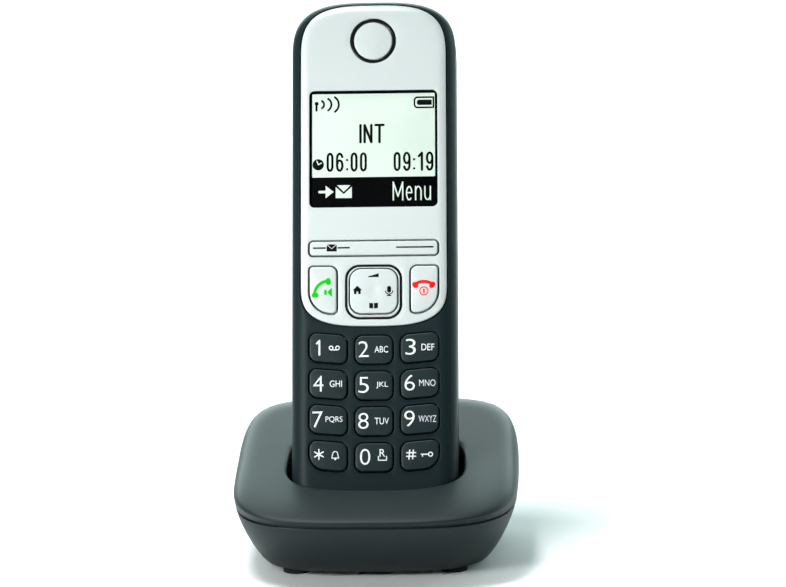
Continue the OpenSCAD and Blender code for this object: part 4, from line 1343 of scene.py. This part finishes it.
def lamp(name, at, to, size, power, spread=180.0, tint=(1.0, 1.0, 1.0)):
    light = bpy.data.lights.new(name, "AREA")
    light.shape = "RECTANGLE"
    light.size, light.size_y = size
    light.energy = power
    light.spread = math.radians(spread)
    light.color = tint
    ob = put(name, light)
    ob.location = at
    ob.rotation_euler = (Vector(to) - Vector(at)).to_track_quat("-Z", "Y").to_euler()
    ob.visible_camera = False


def world(front, back):
    """White backdrop to the camera; as light it is cool, dim in front of the object, brighter behind."""
    w = bpy.data.worlds.new("studio")
    bpy.context.scene.world = w
    w.use_nodes = True
    new, link = w.node_tree.nodes.new, w.node_tree.links.new
    shine = w.node_tree.nodes["Background"]
    xyz = new("ShaderNodeSeparateXYZ")
    link(new("ShaderNodeTexCoord").outputs["Generated"], xyz.inputs["Vector"])
    fade = new("ShaderNodeMapRange")
    fade.interpolation_type = "SMOOTHSTEP"
    for socket, value in {"From Min": -0.5, "From Max": 0.6, "To Min": front, "To Max": back}.items():
        fade.inputs[socket].default_value = value
    link(xyz.outputs["Y"], fade.inputs["Value"])
    seen = new("ShaderNodeLightPath").outputs["Is Camera Ray"]
    strength = new("ShaderNodeMix")
    strength.inputs["B"].default_value = 1.0
    link(seen, strength.inputs["Factor"])
    link(fade.outputs["Result"], strength.inputs["A"])
    link(strength.outputs["Result"], shine.inputs["Strength"])
    hue = new("ShaderNodeMix")
    hue.data_type = "RGBA"
    hue.inputs["A"].default_value = (*COOL, 1.0)
    hue.inputs["B"].default_value = (1.0, 1.0, 1.0, 1.0)
    link(seen, hue.inputs["Factor"])
    link(hue.outputs["Result"], shine.inputs["Color"])


ELEVATION, TURN, ROLL = [math.radians(a) for a in (12.279, 2.594, 1.201)]
AIM = Vector((5.764, BASE_Y, 77.645)) * MM
DISTANCE, LENS = 1.521286, 235.7


def camera():
    back = Vector((math.sin(TURN) * math.cos(ELEVATION), -math.cos(TURN) * math.cos(ELEVATION),
                   math.sin(ELEVATION)))
    right = Vector((math.cos(TURN), math.sin(TURN), 0))
    up = back.cross(right)
    c, s = math.cos(ROLL), math.sin(ROLL)
    right, up = right * c - up * s, right * s + up * c
    cam = bpy.data.cameras.new("camera")
    cam.sensor_width = 36.0
    cam.lens = LENS
    cam.clip_start, cam.clip_end = 0.05, 30.0
    ob = put("camera", cam)
    ob.matrix_world = Matrix((right, up, back)).transposed().to_4x4()
    ob.location = AIM + back * DISTANCE
    bpy.context.scene.camera = ob


floor()
world(0.1, 0.5)
lamp("near_left", (-0.19, -0.24, 0.18), (0.01, -0.02, 0.115), (0.05, 0.18), 0.2, 75)
lamp("overhead", (-0.36, 0.1, 1.5), (0, 0, 0), (0.35, 0.35), 16)
lamp("behind", (-0.08, 1.0, 0.4), (0, 0, 0.04), (1.3, 0.5), 11.5, tint=COOL)
lamp("right", (0.9, 0.5, 0.4), (0, 0, 0.04), (0.5, 0.5), 3, tint=COOL)
camera()
bpy.context.scene.view_settings.view_transform = "Standard"
